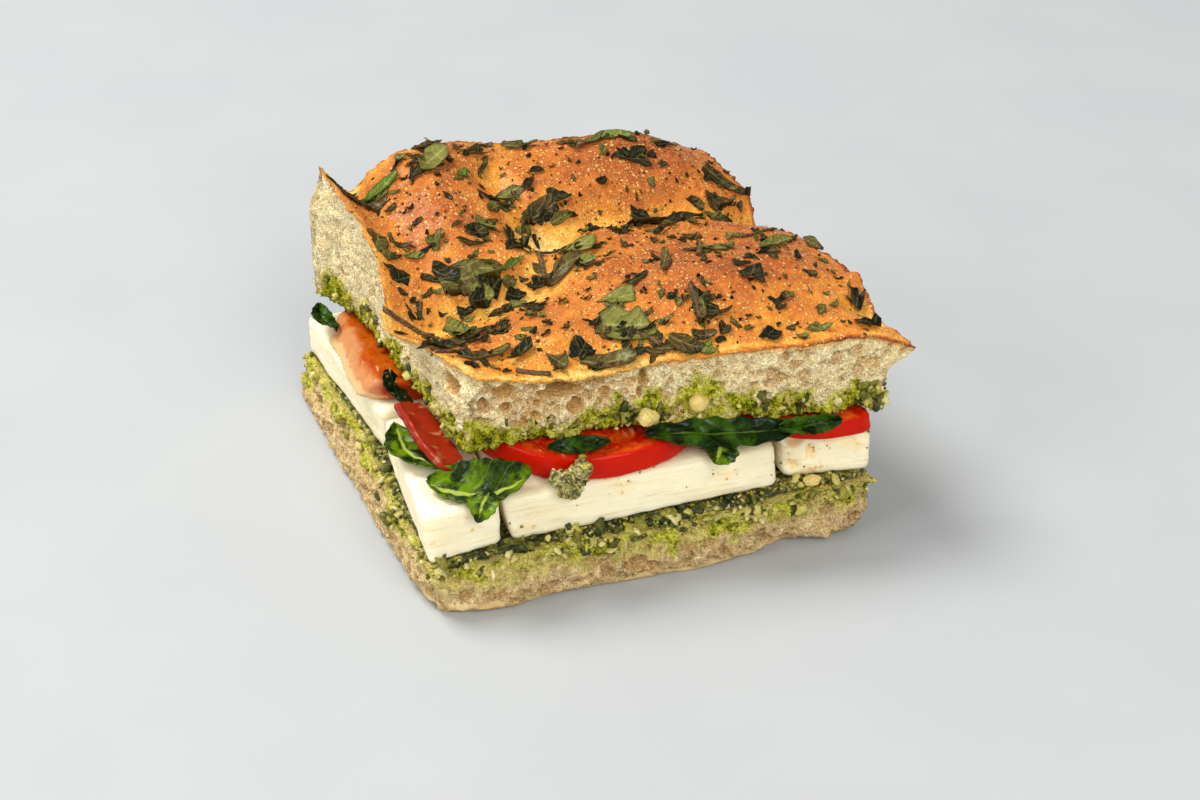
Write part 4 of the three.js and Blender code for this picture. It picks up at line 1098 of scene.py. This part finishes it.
def pesto_finish(name, dark, green, olive, pale):
    finish = Finish(name, Subsurface_Weight=0.08, Subsurface_Scale=0.001, Specular_IOR_Level=0.3,
                    Coat_Roughness=0.12)
    where = finish.bent(0.7, 0.8)
    chop = finish.red(finish.cells(0.75, out="Color", where=where))
    tone = finish.noise(1.3, 5, 0.75) * 0.6 + finish.noise(6, 3) * 0.4
    body = finish.ramp(tone, [(0.36, dark), (0.46, green), (0.53, olive), (0.64, pale)])
    body = finish.mix(finish.step(0.86, 0.93, chop) * 0.8, body, srgb(216, 196, 112))
    body = finish.mix(finish.step(0.34, 0.24, chop) * 0.75, body, srgb(30, 40, 12))
    bump = finish.relief(finish.cells(0.75, where=where), 0.45)
    bump = finish.relief(finish.noise(0.45, 4, 0.6), 0.25, bump)
    return finish.wear(Base_Color=body, Roughness=0.25 + 0.3 * chop, Normal=bump,
                       Coat_Weight=0.3 * finish.noise(2, 2))


PESTO = pesto_finish("pesto", srgb(24, 30, 6), srgb(60, 66, 16), srgb(124, 118, 36), srgb(206, 196, 116))
CREAMY = pesto_finish("pesto_creamy", srgb(84, 84, 34), srgb(142, 136, 70), srgb(182, 170, 104), srgb(214, 202, 148))
lower_pesto = pesto_piece("pesto_layer_lower", "pesto_lower", 0.75, 1.4, 0.7)
serve(lower_pesto, ["pesto_lower"], PESTO)
serve(pesto_piece("pesto_layer_upper", "pesto_upper", 0.75, 0.9, 0.5), ["pesto_upper"], PESTO)
blob = pesto_piece("pesto_blob_front", "pesto_blob", 0.35, 4.5, 1.6)
serve(blob, ["pesto_blob"], CREAMY)

# %% [markdown]
# Pine nuts are pale ellipsoids with one blunt and one pointed end, dusted with pesto.

# %% The pine nuts
NUT_HALF = {"pine_nut_round": (2.4, 2.1, 2.2), "pine_nut_broken": (2.6, 2.2, 1.9), "pine_nut_lower": (2.3, 1.5, 1.3)}


def nut_finish():
    finish = Finish("pine_nut", Subsurface_Weight=0.4, Subsurface_Scale=0.002, Specular_IOR_Level=0.5,
                    Coat_Roughness=0.3)
    body = finish.mix(finish.noise(2.5, 4, 0.6), srgb(232, 212, 128), srgb(206, 176, 92))
    speck = finish.step(0.16, 0.08, finish.cells(0.9)) * finish.step(0.45, 0.6, finish.noise(1.5, 2))
    body = finish.mix(speck, body, srgb(92, 96, 30))
    bump = finish.relief(finish.noise(0.7, 4, 0.6), 0.2)
    return finish.wear(Base_Color=body, Roughness=0.4 + 0.2 * finish.noise(2, 2), Normal=bump, Coat_Weight=0.3 + 0.2 * speck)


def pine_nut(node):
    bpy.ops.object.select_all(action="DESELECT")
    bpy.ops.mesh.primitive_ico_sphere_add(subdivisions=5, radius=1)
    piece = start(node + "_kernel")
    unit = spots(piece)
    taper = 1 - 0.28 * smoothstep(-0.2, 1, unit[:, 0])
    unit[:, 1:] *= taper[:, None]
    chipped = 0.08 if node == "pine_nut_round" else 0.22
    unit *= (1 + chipped * fractal(unit, 0.9, 130.0 + len(node)))[:, None]
    settle(piece, np.array(NUT_AT[node]) + unit * np.array(NUT_HALF[node]))
    return piece


NUT = nut_finish()
for node in NUT_AT:
    serve(pine_nut(node), [node], NUT)

# %% [markdown]
# The herbs on the crust dried in the oven: scraps of leaf from specks to a centimetre and a half,
# curled and creased, some still on brown bits of stem. One scrap is a small grid. Each copy gets
# its own ragged outline, crease and curl, is laid on the crust by dropping every vertex on it from
# above, and is then joined with the others. Many lie in heaps in the dents and round large ones.

# %% Herb flakes on the crust
LARGE_FLAKES = [
    (-27, 0.5, 16, 8, -10, 0.5), (-24, 2, 13, 6, -22, 0.6), (-35.6, -19.4, 17, 7, 26, 0.42),
    (-24.4, 39.6, 8, 10, 10, 0.7), (36.4, -26, 9, 8, 60, 0.24), (2.8, -32.4, 14, 8, -28, 0.72),
    (-6.6, -40.6, 12, 6, -15, 0.5), (19, -33.6, 11, 3, 78, 0.5), (19, -13, 12, 3, 62, 0.48),
    (14, -43.6, 9, 6, -30, 0.4), (-5.8, -3.6, 13, 5, 8, 0.44), (1, 1, 10, 6, 22, 0.74),
    (-19.8, 13.8, 9, 6, 14, 0.32), (-29.4, 36, 7, 4, 50, 0.28), (-44.2, 17.2, 9, 4.6, 68, 0.52),
    (-1.2, 21, 13, 4, 10, 0.36), (21.8, 11, 13, 5, 6, 0.34), (36, 12.4, 12, 8, -18, 0.3),
    (26, 42.6, 12, 6, -6, 0.84), (46.8, -13, 14, 3.4, 24, 0.62), (2.6, -22.8, 10, 5, -16, 0.76),
    (-32.8, -29.6, 12, 5, 6, 0.46), (-44.6, 40.6, 10, 5, -20, 1.0), (-38.4, 38.4, 9, 4, 8, 0.98),
    (51, 26, 12, 4, -46, 0.34)]
MORE_FLAKES = [
    (-42.2, 4.1, 6, 4, 30), (-30.6, 14, 6, 4, 70), (2.5, 47, 9, 4, 5), (-22, 47, 8, 4, -8), (19.3, 41.1, 10, 4, -4),
    (27, 31.9, 12, 4, -10), (5.2, 24.3, 9, 4, 12), (45.9, 20.1, 9, 4, -30), (29.2, -10.5, 8, 4, -4),
    (-24.1, -32.2, 8, 4, 20), (60, -35.3, 7, 4, 60), (57.3, -46.2, 8, 3.4, 20), (32.3, -45, 7, 4, 30),
    (45.1, -45.8, 6, 3.4, -20), (-12, 8, 8, 5, 40), (-6, 30, 8, 4, 0), (10, -18, 8, 4, 30), (-14, -14, 7, 4, -20),
    (-22, -3, 11, 6, 35), (-31, 3, 9, 5, -40), (-33, -15, 11, 5, 50), (-40, -22, 10, 4, 10), (-2, -29, 9, 4, 60)]
HEAPS = [(-26, -1, 9, 16), (-35, -20, 8, 14), (-7, -40, 8, 13), (3, -32, 8, 13), (19, -33, 6, 9), (0, 20, 10, 13),
         (22, 12, 9, 11), (36, 12, 8, 10), (28, 41, 11, 12), (47, -12, 9, 10), (-24, 38, 8, 9), (-43, 38, 6, 9),
         (-20, 14, 6, 7), (-1, 0, 9, 13), (14, -43, 7, 9), (50, 24, 8, 9), (-5, 44, 13, 10), (-43, 12, 6, 8)]
HERB_TONES = [(0.44, 0.14, 0.32), (0.72, 0.36, 0.5), (0.97, 0.54, 0.76), (1.0, 0.9, 0.96)]
STEEPEST = 0.5

crust_tree = BVHTree.FromObject(top_bread, bpy.context.evaluated_depsgraph_get())


def on_crust(x, y):
    """The height of the crust above a place of the plan, in millimetres, or None beside it."""
    above = (np.array([x, y, 120.0]) + SHIFT) * MM
    hit, way, _, _ = crust_tree.ray_cast(Vector(above), Vector((0, 0, -1)))
    return None if hit is None or way.z < STEEPEST else hit.z / MM - SHIFT[2]


def torn_reach(bend, draw):
    """How far a torn scrap reaches each way: straight edges all round, and a nick or two."""
    reach = np.full(len(bend), 1.25)
    for _ in range(draw.randint(4, 6)):
        facing = np.cos(bend - draw.uniform(-math.pi, math.pi))
        reach = np.minimum(reach, draw.uniform(0.5, 1.0) / np.maximum(facing, 0.05))
    for _ in range(draw.randint(0, 2)):
        nick = np.cos(bend - draw.uniform(-math.pi, math.pi))
        reach *= 1 - 0.5 * smoothstep(0.94, 1, nick)
    return reach


def scrap(model, x, y, length, width, turn, tone, draw, curl):
    """One copy of the model scrap, torn, creased and laid on the crust."""
    piece = model.copy()
    piece.data = model.data.copy()
    bpy.context.scene.collection.objects.link(piece)
    unit = spots(piece)[:, :2]
    share = np.abs(unit).max(axis=1) * 2
    bend = np.arctan2(unit[:, 1], unit[:, 0])
    flat = (share * torn_reach(bend, draw) / 2)[:, None] * np.stack([np.cos(bend), np.sin(bend)], axis=-1)
    lift = 0.16 + curl * share**2 * (0.4 + 0.4 * np.cos(2 * bend + draw.uniform(0, 6.3)))
    crumple = 0
    for height in (draw.uniform(0.4, 1.8), draw.uniform(-1.6, 1.6), draw.uniform(-1.2, 1.2)):
        crease = draw.uniform(0, math.pi)
        along_crease = flat[:, 0] * math.cos(crease) + flat[:, 1] * math.sin(crease)
        crumple = crumple + height * np.abs(along_crease - draw.uniform(-0.25, 0.25))
    lift += curl * crumple
    angle = math.radians(turn)
    px = x + flat[:, 0] * length * math.cos(angle) - flat[:, 1] * width * math.sin(angle)
    py = y + flat[:, 0] * length * math.sin(angle) + flat[:, 1] * width * math.cos(angle)
    under = [on_crust(*spot) for spot in zip(px, py)]
    middle = np.median([height for height in under if height is not None] or [50.0])
    under = [height if height is not None and height > middle - 2.5 else middle for height in under]
    settle(piece, np.stack([px, py, under + np.maximum(lift, 0.06)], axis=-1))
    paint(piece, "along", unit[:, 0] + 0.5)
    paint(piece, "across", unit[:, 1] * 2)
    # The tone rises on the crumpled ridges: a painted highlight.
    paint(piece, "tone", np.clip(tone + 0.16 * (crumple - np.mean(crumple)), 0, max(tone, 0.74)))
    paint(piece, "edge", share)
    return piece


def any_tone(draw):
    pick = draw.random()
    low, high = next((low, high) for chance, low, high in HERB_TONES if pick <= chance)
    return draw.uniform(low, high)


def gather(name, pieces):
    """Joins many objects into one piece."""
    bpy.ops.object.select_all(action="DESELECT")
    for piece in pieces:
        piece.select_set(True)
    bpy.context.view_layer.objects.active = pieces[0]
    bpy.ops.object.join()
    pieces[0].name = pieces[0].data.name = name
    return pieces[0]


def scrap_model(name, across, along):
    bpy.ops.object.select_all(action="DESELECT")
    bpy.ops.mesh.primitive_grid_add(x_subdivisions=across, y_subdivisions=along, size=1)
    return start(name)


draw = random.Random(4)
model = scrap_model("scrap", 18, 12)
flakes = [scrap(model, *flake, draw, curl=1.0) for flake in LARGE_FLAKES]
flakes += [scrap(model, *flake, any_tone(draw), draw, curl=1.0) for flake in MORE_FLAKES]
large_flakes = gather("herb_flakes_large", flakes)
modify(large_flakes, "SOLIDIFY", thickness=0.2 * MM, offset=0)
bpy.data.objects.remove(model)
model = scrap_model("heap_scrap", 10, 8)
heaped = []
for x, y, spread, count in HEAPS:
    for _ in range(count):
        length = draw.uniform(2.2, 6.8)
        near, way_round = 1.25 * spread * draw.random() ** 0.6, draw.uniform(0, math.tau)
        spot = (x + 1.3 * near * math.cos(way_round), y + 0.8 * near * math.sin(way_round))
        if on_crust(*spot) is not None:
            width = length * draw.uniform(0.25, 0.7)
            turn = draw.gauss(8, 35)
            heaped.append(scrap(model, *spot, length, width, turn, any_tone(draw), draw, 0.75))
heap_flakes = gather("herb_flakes_heaped", heaped)
modify(heap_flakes, "SOLIDIFY", thickness=0.18 * MM, offset=0)
bpy.data.objects.remove(model)
print("large flakes:", len(flakes), "heaped flakes:", len(heaped))

# %% [markdown]
# Smaller scraps and points of herb lie between the large ones. Their places are drawn at random
# over the crust, with a seed so that they always fall the same way. Short
# ends of stem are thin eight-sided rods, bent a little.

# %% Small herb scraps and stems
SMALL_COUNT, SPECK_COUNT = 330, 700
STEMS = [(-43.5, -6.9, 12, 1.1, -25), (29.2, -10.5, 8, 1.5, 64), (19, -32.6, 10, 1.5, 80), (48, -3, 13, 0.9, 28),
         (-23, -38.5, 8, 1.2, -28), (5, -37, 9, 1.2, -55), (-8, -1, 9, 1.3, 84), (-38.6, -24.5, 9, 1.0, 5)]


def rod(x, y, length, width, turn, draw):
    bpy.ops.object.select_all(action="DESELECT")
    bpy.ops.mesh.primitive_cylinder_add(vertices=8, radius=0.5, depth=1, rotation=(0, math.pi / 2, 0))
    piece = start("stem")
    bpy.ops.object.mode_set(mode="EDIT")
    bpy.ops.mesh.select_all(action="SELECT")
    bpy.ops.mesh.subdivide(number_cuts=6)
    bpy.ops.object.mode_set(mode="OBJECT")
    unit = spots(piece)
    angle = math.radians(turn)
    bow = draw.uniform(-1.2, 1.2)
    middle = on_crust(x, y)
    places = np.empty_like(unit)
    for index, (a, b, c) in enumerate(unit):
        px = x + a * length * math.cos(angle) - (b * width + bow * a * a) * math.sin(angle)
        py = y + a * length * math.sin(angle) + (b * width + bow * a * a) * math.cos(angle)
        under = on_crust(px, py) or middle
        lie = under if under > middle - 2.5 else middle
        places[index] = (px, py, lie + 0.25 * width + c * width * 0.9 + 0.8 * a * a)
    settle(piece, places)
    paint(piece, "along", unit[:, 0] + 0.5)
    paint(piece, "across", unit[:, 1] * 2)
    paint(piece, "tone", np.full(len(unit), 0.5))
    paint(piece, "edge", np.abs(unit[:, 0]) * 2)
    return piece


def strewn(name, model, count, long_low, long_high, draw, curl):
    pieces = []
    while len(pieces) < count:
        u, v = draw.uniform(0.02, 0.98), draw.uniform(0.02, 0.98)
        x, y, _ = CRUST_RIM(np.array(u), np.array(v))
        length = long_low * (long_high / long_low) ** (draw.random() ** 1.6)
        if on_crust(x, y) is not None:
            width, turn = length * draw.uniform(0.3, 0.75), draw.gauss(5, 45)
            pieces.append(scrap(model, x, y, length, width, turn, any_tone(draw), draw, curl))
    return gather(name, pieces)


draw = random.Random(9)
model = scrap_model("small_scrap", 8, 6)
small_flakes = strewn("herb_flakes_small", model, SMALL_COUNT, 1.3, 4.2, draw, 0.5)
modify(small_flakes, "SOLIDIFY", thickness=0.18 * MM, offset=0)
speck_model = scrap_model("speck", 3, 2)
specks = strewn("herb_specks", speck_model, SPECK_COUNT, 0.3, 1.1, draw, 0.12)
modify(specks, "SOLIDIFY", thickness=0.14 * MM, offset=0)
bpy.data.objects.remove(model)
bpy.data.objects.remove(speck_model)
stems = gather("herb_stems", [rod(*stem, draw) for stem in STEMS])

# %% The finish of the dried herbs
def herb_finish():
    finish = Finish("dried_herb", Specular_IOR_Level=0.08, Coat_Roughness=0.14, Coat_IOR=1.4)
    along, across, tone, edge = [finish.attribute(name) for name in ("along", "across", "tone", "edge")]
    patchy = tone + (finish.noise(2.4, 6, 0.75) - 0.5) * 0.95
    body = finish.ramp(patchy, [
        (0.1, srgb(18, 18, 8)), (0.3, srgb(44, 42, 20)), (0.44, srgb(84, 60, 30)), (0.56, srgb(88, 84, 34)),
        (0.78, srgb(126, 124, 56)), (1.0, srgb(74, 112, 20))])
    wide = finish.absolute(across)
    wave = finish.node("ShaderNodeMath", {"operation": "SINE"}, {0: (along * 4 - wide + finish.noise(2, 3)) * math.tau})
    vein = finish.step(0.78, 1.0, wave) * 0.4 + finish.step(0.12, 0.03, wide) * 0.55
    body = finish.mix(vein * (0.15 + tone), body, srgb(164, 156, 92))
    body = finish.mix(finish.step(0.8, 1.0, edge) * 0.45, body, srgb(34, 28, 16))
    bump = finish.relief(finish.noise(0.7, 4, 0.65), 0.4)
    bump = finish.relief(wave, 0.1, bump)
    return finish.wear(Base_Color=body, Roughness=0.45 + 0.3 * finish.noise(1.6, 3), Normal=bump,
                       Coat_Weight=0.35 * finish.step(0.45, 0.7, finish.noise(1.4, 3)))


def stem_finish():
    finish = Finish("herb_stem", Specular_IOR_Level=0.35)
    streak = finish.noise(0.4, 3, 0.6, where=finish.stretched(0.4, 0.4, 1.5))
    body = finish.mix(finish.step(0.35, 0.65, streak), srgb(52, 34, 18), srgb(120, 84, 44))
    return finish.wear(Base_Color=body, Roughness=0.5 + 0.2 * streak, Normal=finish.relief(streak, 0.3))


HERB = herb_finish()
for piece in (large_flakes, heap_flakes, small_flakes, specks):
    serve(piece, ["top_focaccia"], HERB)
serve(stems, ["top_focaccia"], stem_finish())

# %% [markdown]
# Where the pesto was spread it is a mash of chopped leaf, cheese and nut, and the torn bread next
# to it sheds wet crumbs. A knobbly pebble stands for one bit: it is copied some hundred times,
# each with its own lengths, turn and tone, and lies where the sauce shows: on the lip of the lower
# slice, along the torn edge of the upper one, on the blob and, more thinly, on the cheese.

# %% Bits of pesto and wet crumbs
def pebble_model(name, fine):
    bpy.ops.object.select_all(action="DESELECT")
    bpy.ops.mesh.primitive_ico_sphere_add(subdivisions=fine, radius=0.5)
    return start(name)


def pebble(model, at, size, tone, draw):
    piece = model.copy()
    piece.data = model.data.copy()
    bpy.context.scene.collection.objects.link(piece)
    unit = spots(piece) * [draw.uniform(0.3, 1.2) for _ in range(3)]
    unit *= (1 + 0.75 * fractal(unit, 0.4, draw.uniform(0, 200), 2))[:, None]
    turn = Euler([draw.uniform(0, math.tau) for _ in range(3)]).to_matrix()
    settle(piece, np.array(at) + unit @ np.array(turn) * size)
    paint(piece, "tone", np.full(len(unit), tone))
    return piece


def sites(piece, wanted, count, draw):
    """Places on a piece, drawn from its vertices with the wanted weights, and its outward ways."""
    places, ways = measured(piece), normals(piece)
    weights = np.cumsum(wanted(places, ways))
    picks = np.searchsorted(weights, [draw.uniform(0, weights[-1]) for _ in range(count)])
    return places[picks], ways[picks]


def scatter(model, piece, wanted, count, small, large, tones, draw):
    """Copies of the model half sunk in a piece's surface."""
    made = []
    for at, way_out in zip(*sites(piece, wanted, count, draw)):
        size = small * (large / small) ** (draw.random() ** 1.8)
        made.append(pebble(model, at + way_out * size * 0.06, size, draw.uniform(*tones), draw))
    return made


def lower_lip(places, ways):
    front = smoothstep(-48, -52, places[:, 1] + 0.035 * places[:, 0])
    left = 0.35 * smoothstep(-50, -54, places[:, 0])
    patchy = np.clip(0.35 + fractal(places * [1, 1, 0], 7, 150.0), 0.05, 1)
    return np.maximum(front, left) * smoothstep(9, 12.5, places[:, 2]) * patchy


def upper_edge(places, ways):
    front = smoothstep(-0.2, -0.6, ways[:, 1])
    left = 0.5 * smoothstep(-0.2, -0.6, ways[:, 0])
    patchy = np.clip(0.25 + fractal(places * [1, 1, 0], 8, 160.0), 0.03, 1)
    return np.maximum(front, left) * smoothstep(43, 35, places[:, 2]) * patchy


def cheese_edge(places, ways):
    front = smoothstep(-44, -49, places[:, 1]) * smoothstep(-0.3, 0.2, ways[:, 2] - ways[:, 1])
    return front * np.clip(fractal(places, 6, 170.0) - 0.15, 0.004, 1)


def anywhere(places, ways):
    return np.ones(len(places))


def under_nuts(places, ways):
    return np.maximum(hollow(places, (11, -46, 37.5), (9, 6, 4)), hollow(places, (43, -55, 15), (7, 4, 3)))


draw = random.Random(21)
fine_pebble, pebble_small = pebble_model("pebble", 2), pebble_model("pebble_small", 1)
PESTO_BITS = [
    (fine_pebble, lower_pesto, lower_lip, 250, 1.4, 4.2, (0.2, 0.85)),
    (fine_pebble, bottom_bread, lower_lip, 220, 1.2, 3.6, (0.3, 0.95)),
    (fine_pebble, top_bread, upper_edge, 240, 1.2, 3.6, (0.24, 0.9)),
    (fine_pebble, leaves["hollow"], anywhere, 24, 0.9, 2.2, (0.1, 0.5)),
    (fine_pebble, blob, anywhere, 26, 0.9, 2.2, (0.5, 0.9)), (pebble_small, blob, anywhere, 26, 0.4, 1.0, (0.2, 0.7)),
    (pebble_small, bottom_bread, lower_lip, 90, 0.4, 0.9, (0.2, 0.5)),
    (pebble_small, top_bread, upper_edge, 90, 0.4, 0.9, (0.2, 0.5)),
    (pebble_small, slabs["front_middle"], cheese_edge, 20, 0.4, 1.2, (0.25, 0.55)),
    (pebble_small, slabs["front_left"], cheese_edge, 7, 0.4, 1.0, (0.25, 0.55)),
    (pebble_small, slabs["right"], cheese_edge, 24, 0.4, 1.4, (0.3, 0.6))]
bits = []
for job in PESTO_BITS:
    bits += scatter(*job, draw)
pesto_bits = gather("pesto_bits", bits)
brown = scatter(fine_pebble, top_bread, under_nuts, 30, 0.8, 2.0, (0, 1), draw)
brown += scatter(fine_pebble, bottom_bread, under_nuts, 16, 0.6, 1.6, (0, 1), draw)
toasted_bits = gather("toasted_crumbs", brown)
for made in (fine_pebble, pebble_small):
    bpy.data.objects.remove(made)
print("bits:", len(bits), "toasted crumbs:", len(brown))

# %% The finish of the bits
def bits_finish(name, stops):
    finish = Finish(name, Specular_IOR_Level=0.3, Subsurface_Weight=0.15, Subsurface_Scale=0.001,
                    Coat_Roughness=0.12)
    tone = finish.attribute("tone") + (finish.noise(0.9, 5, 0.75) - 0.5) * 0.7
    body = finish.ramp(tone, stops)
    bump = finish.relief(finish.noise(0.4, 4, 0.65), 0.25)
    return finish.wear(Base_Color=body, Roughness=0.35 + 0.3 * finish.noise(1, 2), Normal=bump,
                       Coat_Weight=0.25 * finish.noise(2, 2))


CHOPPED = bits_finish("pesto_chopped", [
    (0.1, srgb(18, 28, 6)), (0.3, srgb(46, 54, 14)), (0.45, srgb(100, 98, 26)), (0.6, srgb(158, 148, 48)),
    (0.75, srgb(200, 188, 94)), (0.95, srgb(228, 212, 150))])
TOASTED = bits_finish("crumb_toasted", [(0.1, srgb(96, 62, 22)), (0.5, srgb(156, 108, 46)), (0.9, srgb(208, 160, 84))])
serve(pesto_bits, ["pesto_lower"], CHOPPED)
serve(toasted_bits, ["top_focaccia"], TOASTED)

# %% The floor and the light
def floor_finish():
    finish = Finish("studio_floor", Roughness=0.55)
    tone = finish.step(0.3, 0.7, finish.noise(60, 2))
    return finish.wear(Base_Color=finish.mix(tone, srgb(176, 178, 178), srgb(179, 181, 180)))


bpy.ops.object.select_all(action="DESELECT")
bpy.ops.mesh.primitive_plane_add(size=6, location=(0, 0, 0))
floor = start("floor")
floor.data.materials.append(floor_finish())


def softbox(name, place, size, power, aim=(0, 0, 0.03)):
    light = bpy.data.lights.new(name, "AREA")
    light.shape, light.size, light.energy = "DISK", size, power
    lamp = bpy.data.objects.new(name, light)
    lamp.location = place
    lamp.rotation_euler = (Vector(aim) - Vector(place)).to_track_quat("-Z", "Y").to_euler()
    bpy.context.scene.collection.objects.link(lamp)


softbox("key", (-0.9, 0.9, 2.0), 1.2, 56)
softbox("left", (-2.2, -0.6, 1.2), 1.4, 21)
softbox("front", (0.1, -2.2, 1.7), 1.6, 46)
world = bpy.data.worlds.new("studio")
world.use_nodes = True
world.node_tree.nodes["Background"].inputs[0].default_value = srgb(230, 232, 234)
world.node_tree.nodes["Background"].inputs[1].default_value = 0.46
bpy.context.scene.world = world
bpy.context.scene.view_settings.view_transform = "Standard"
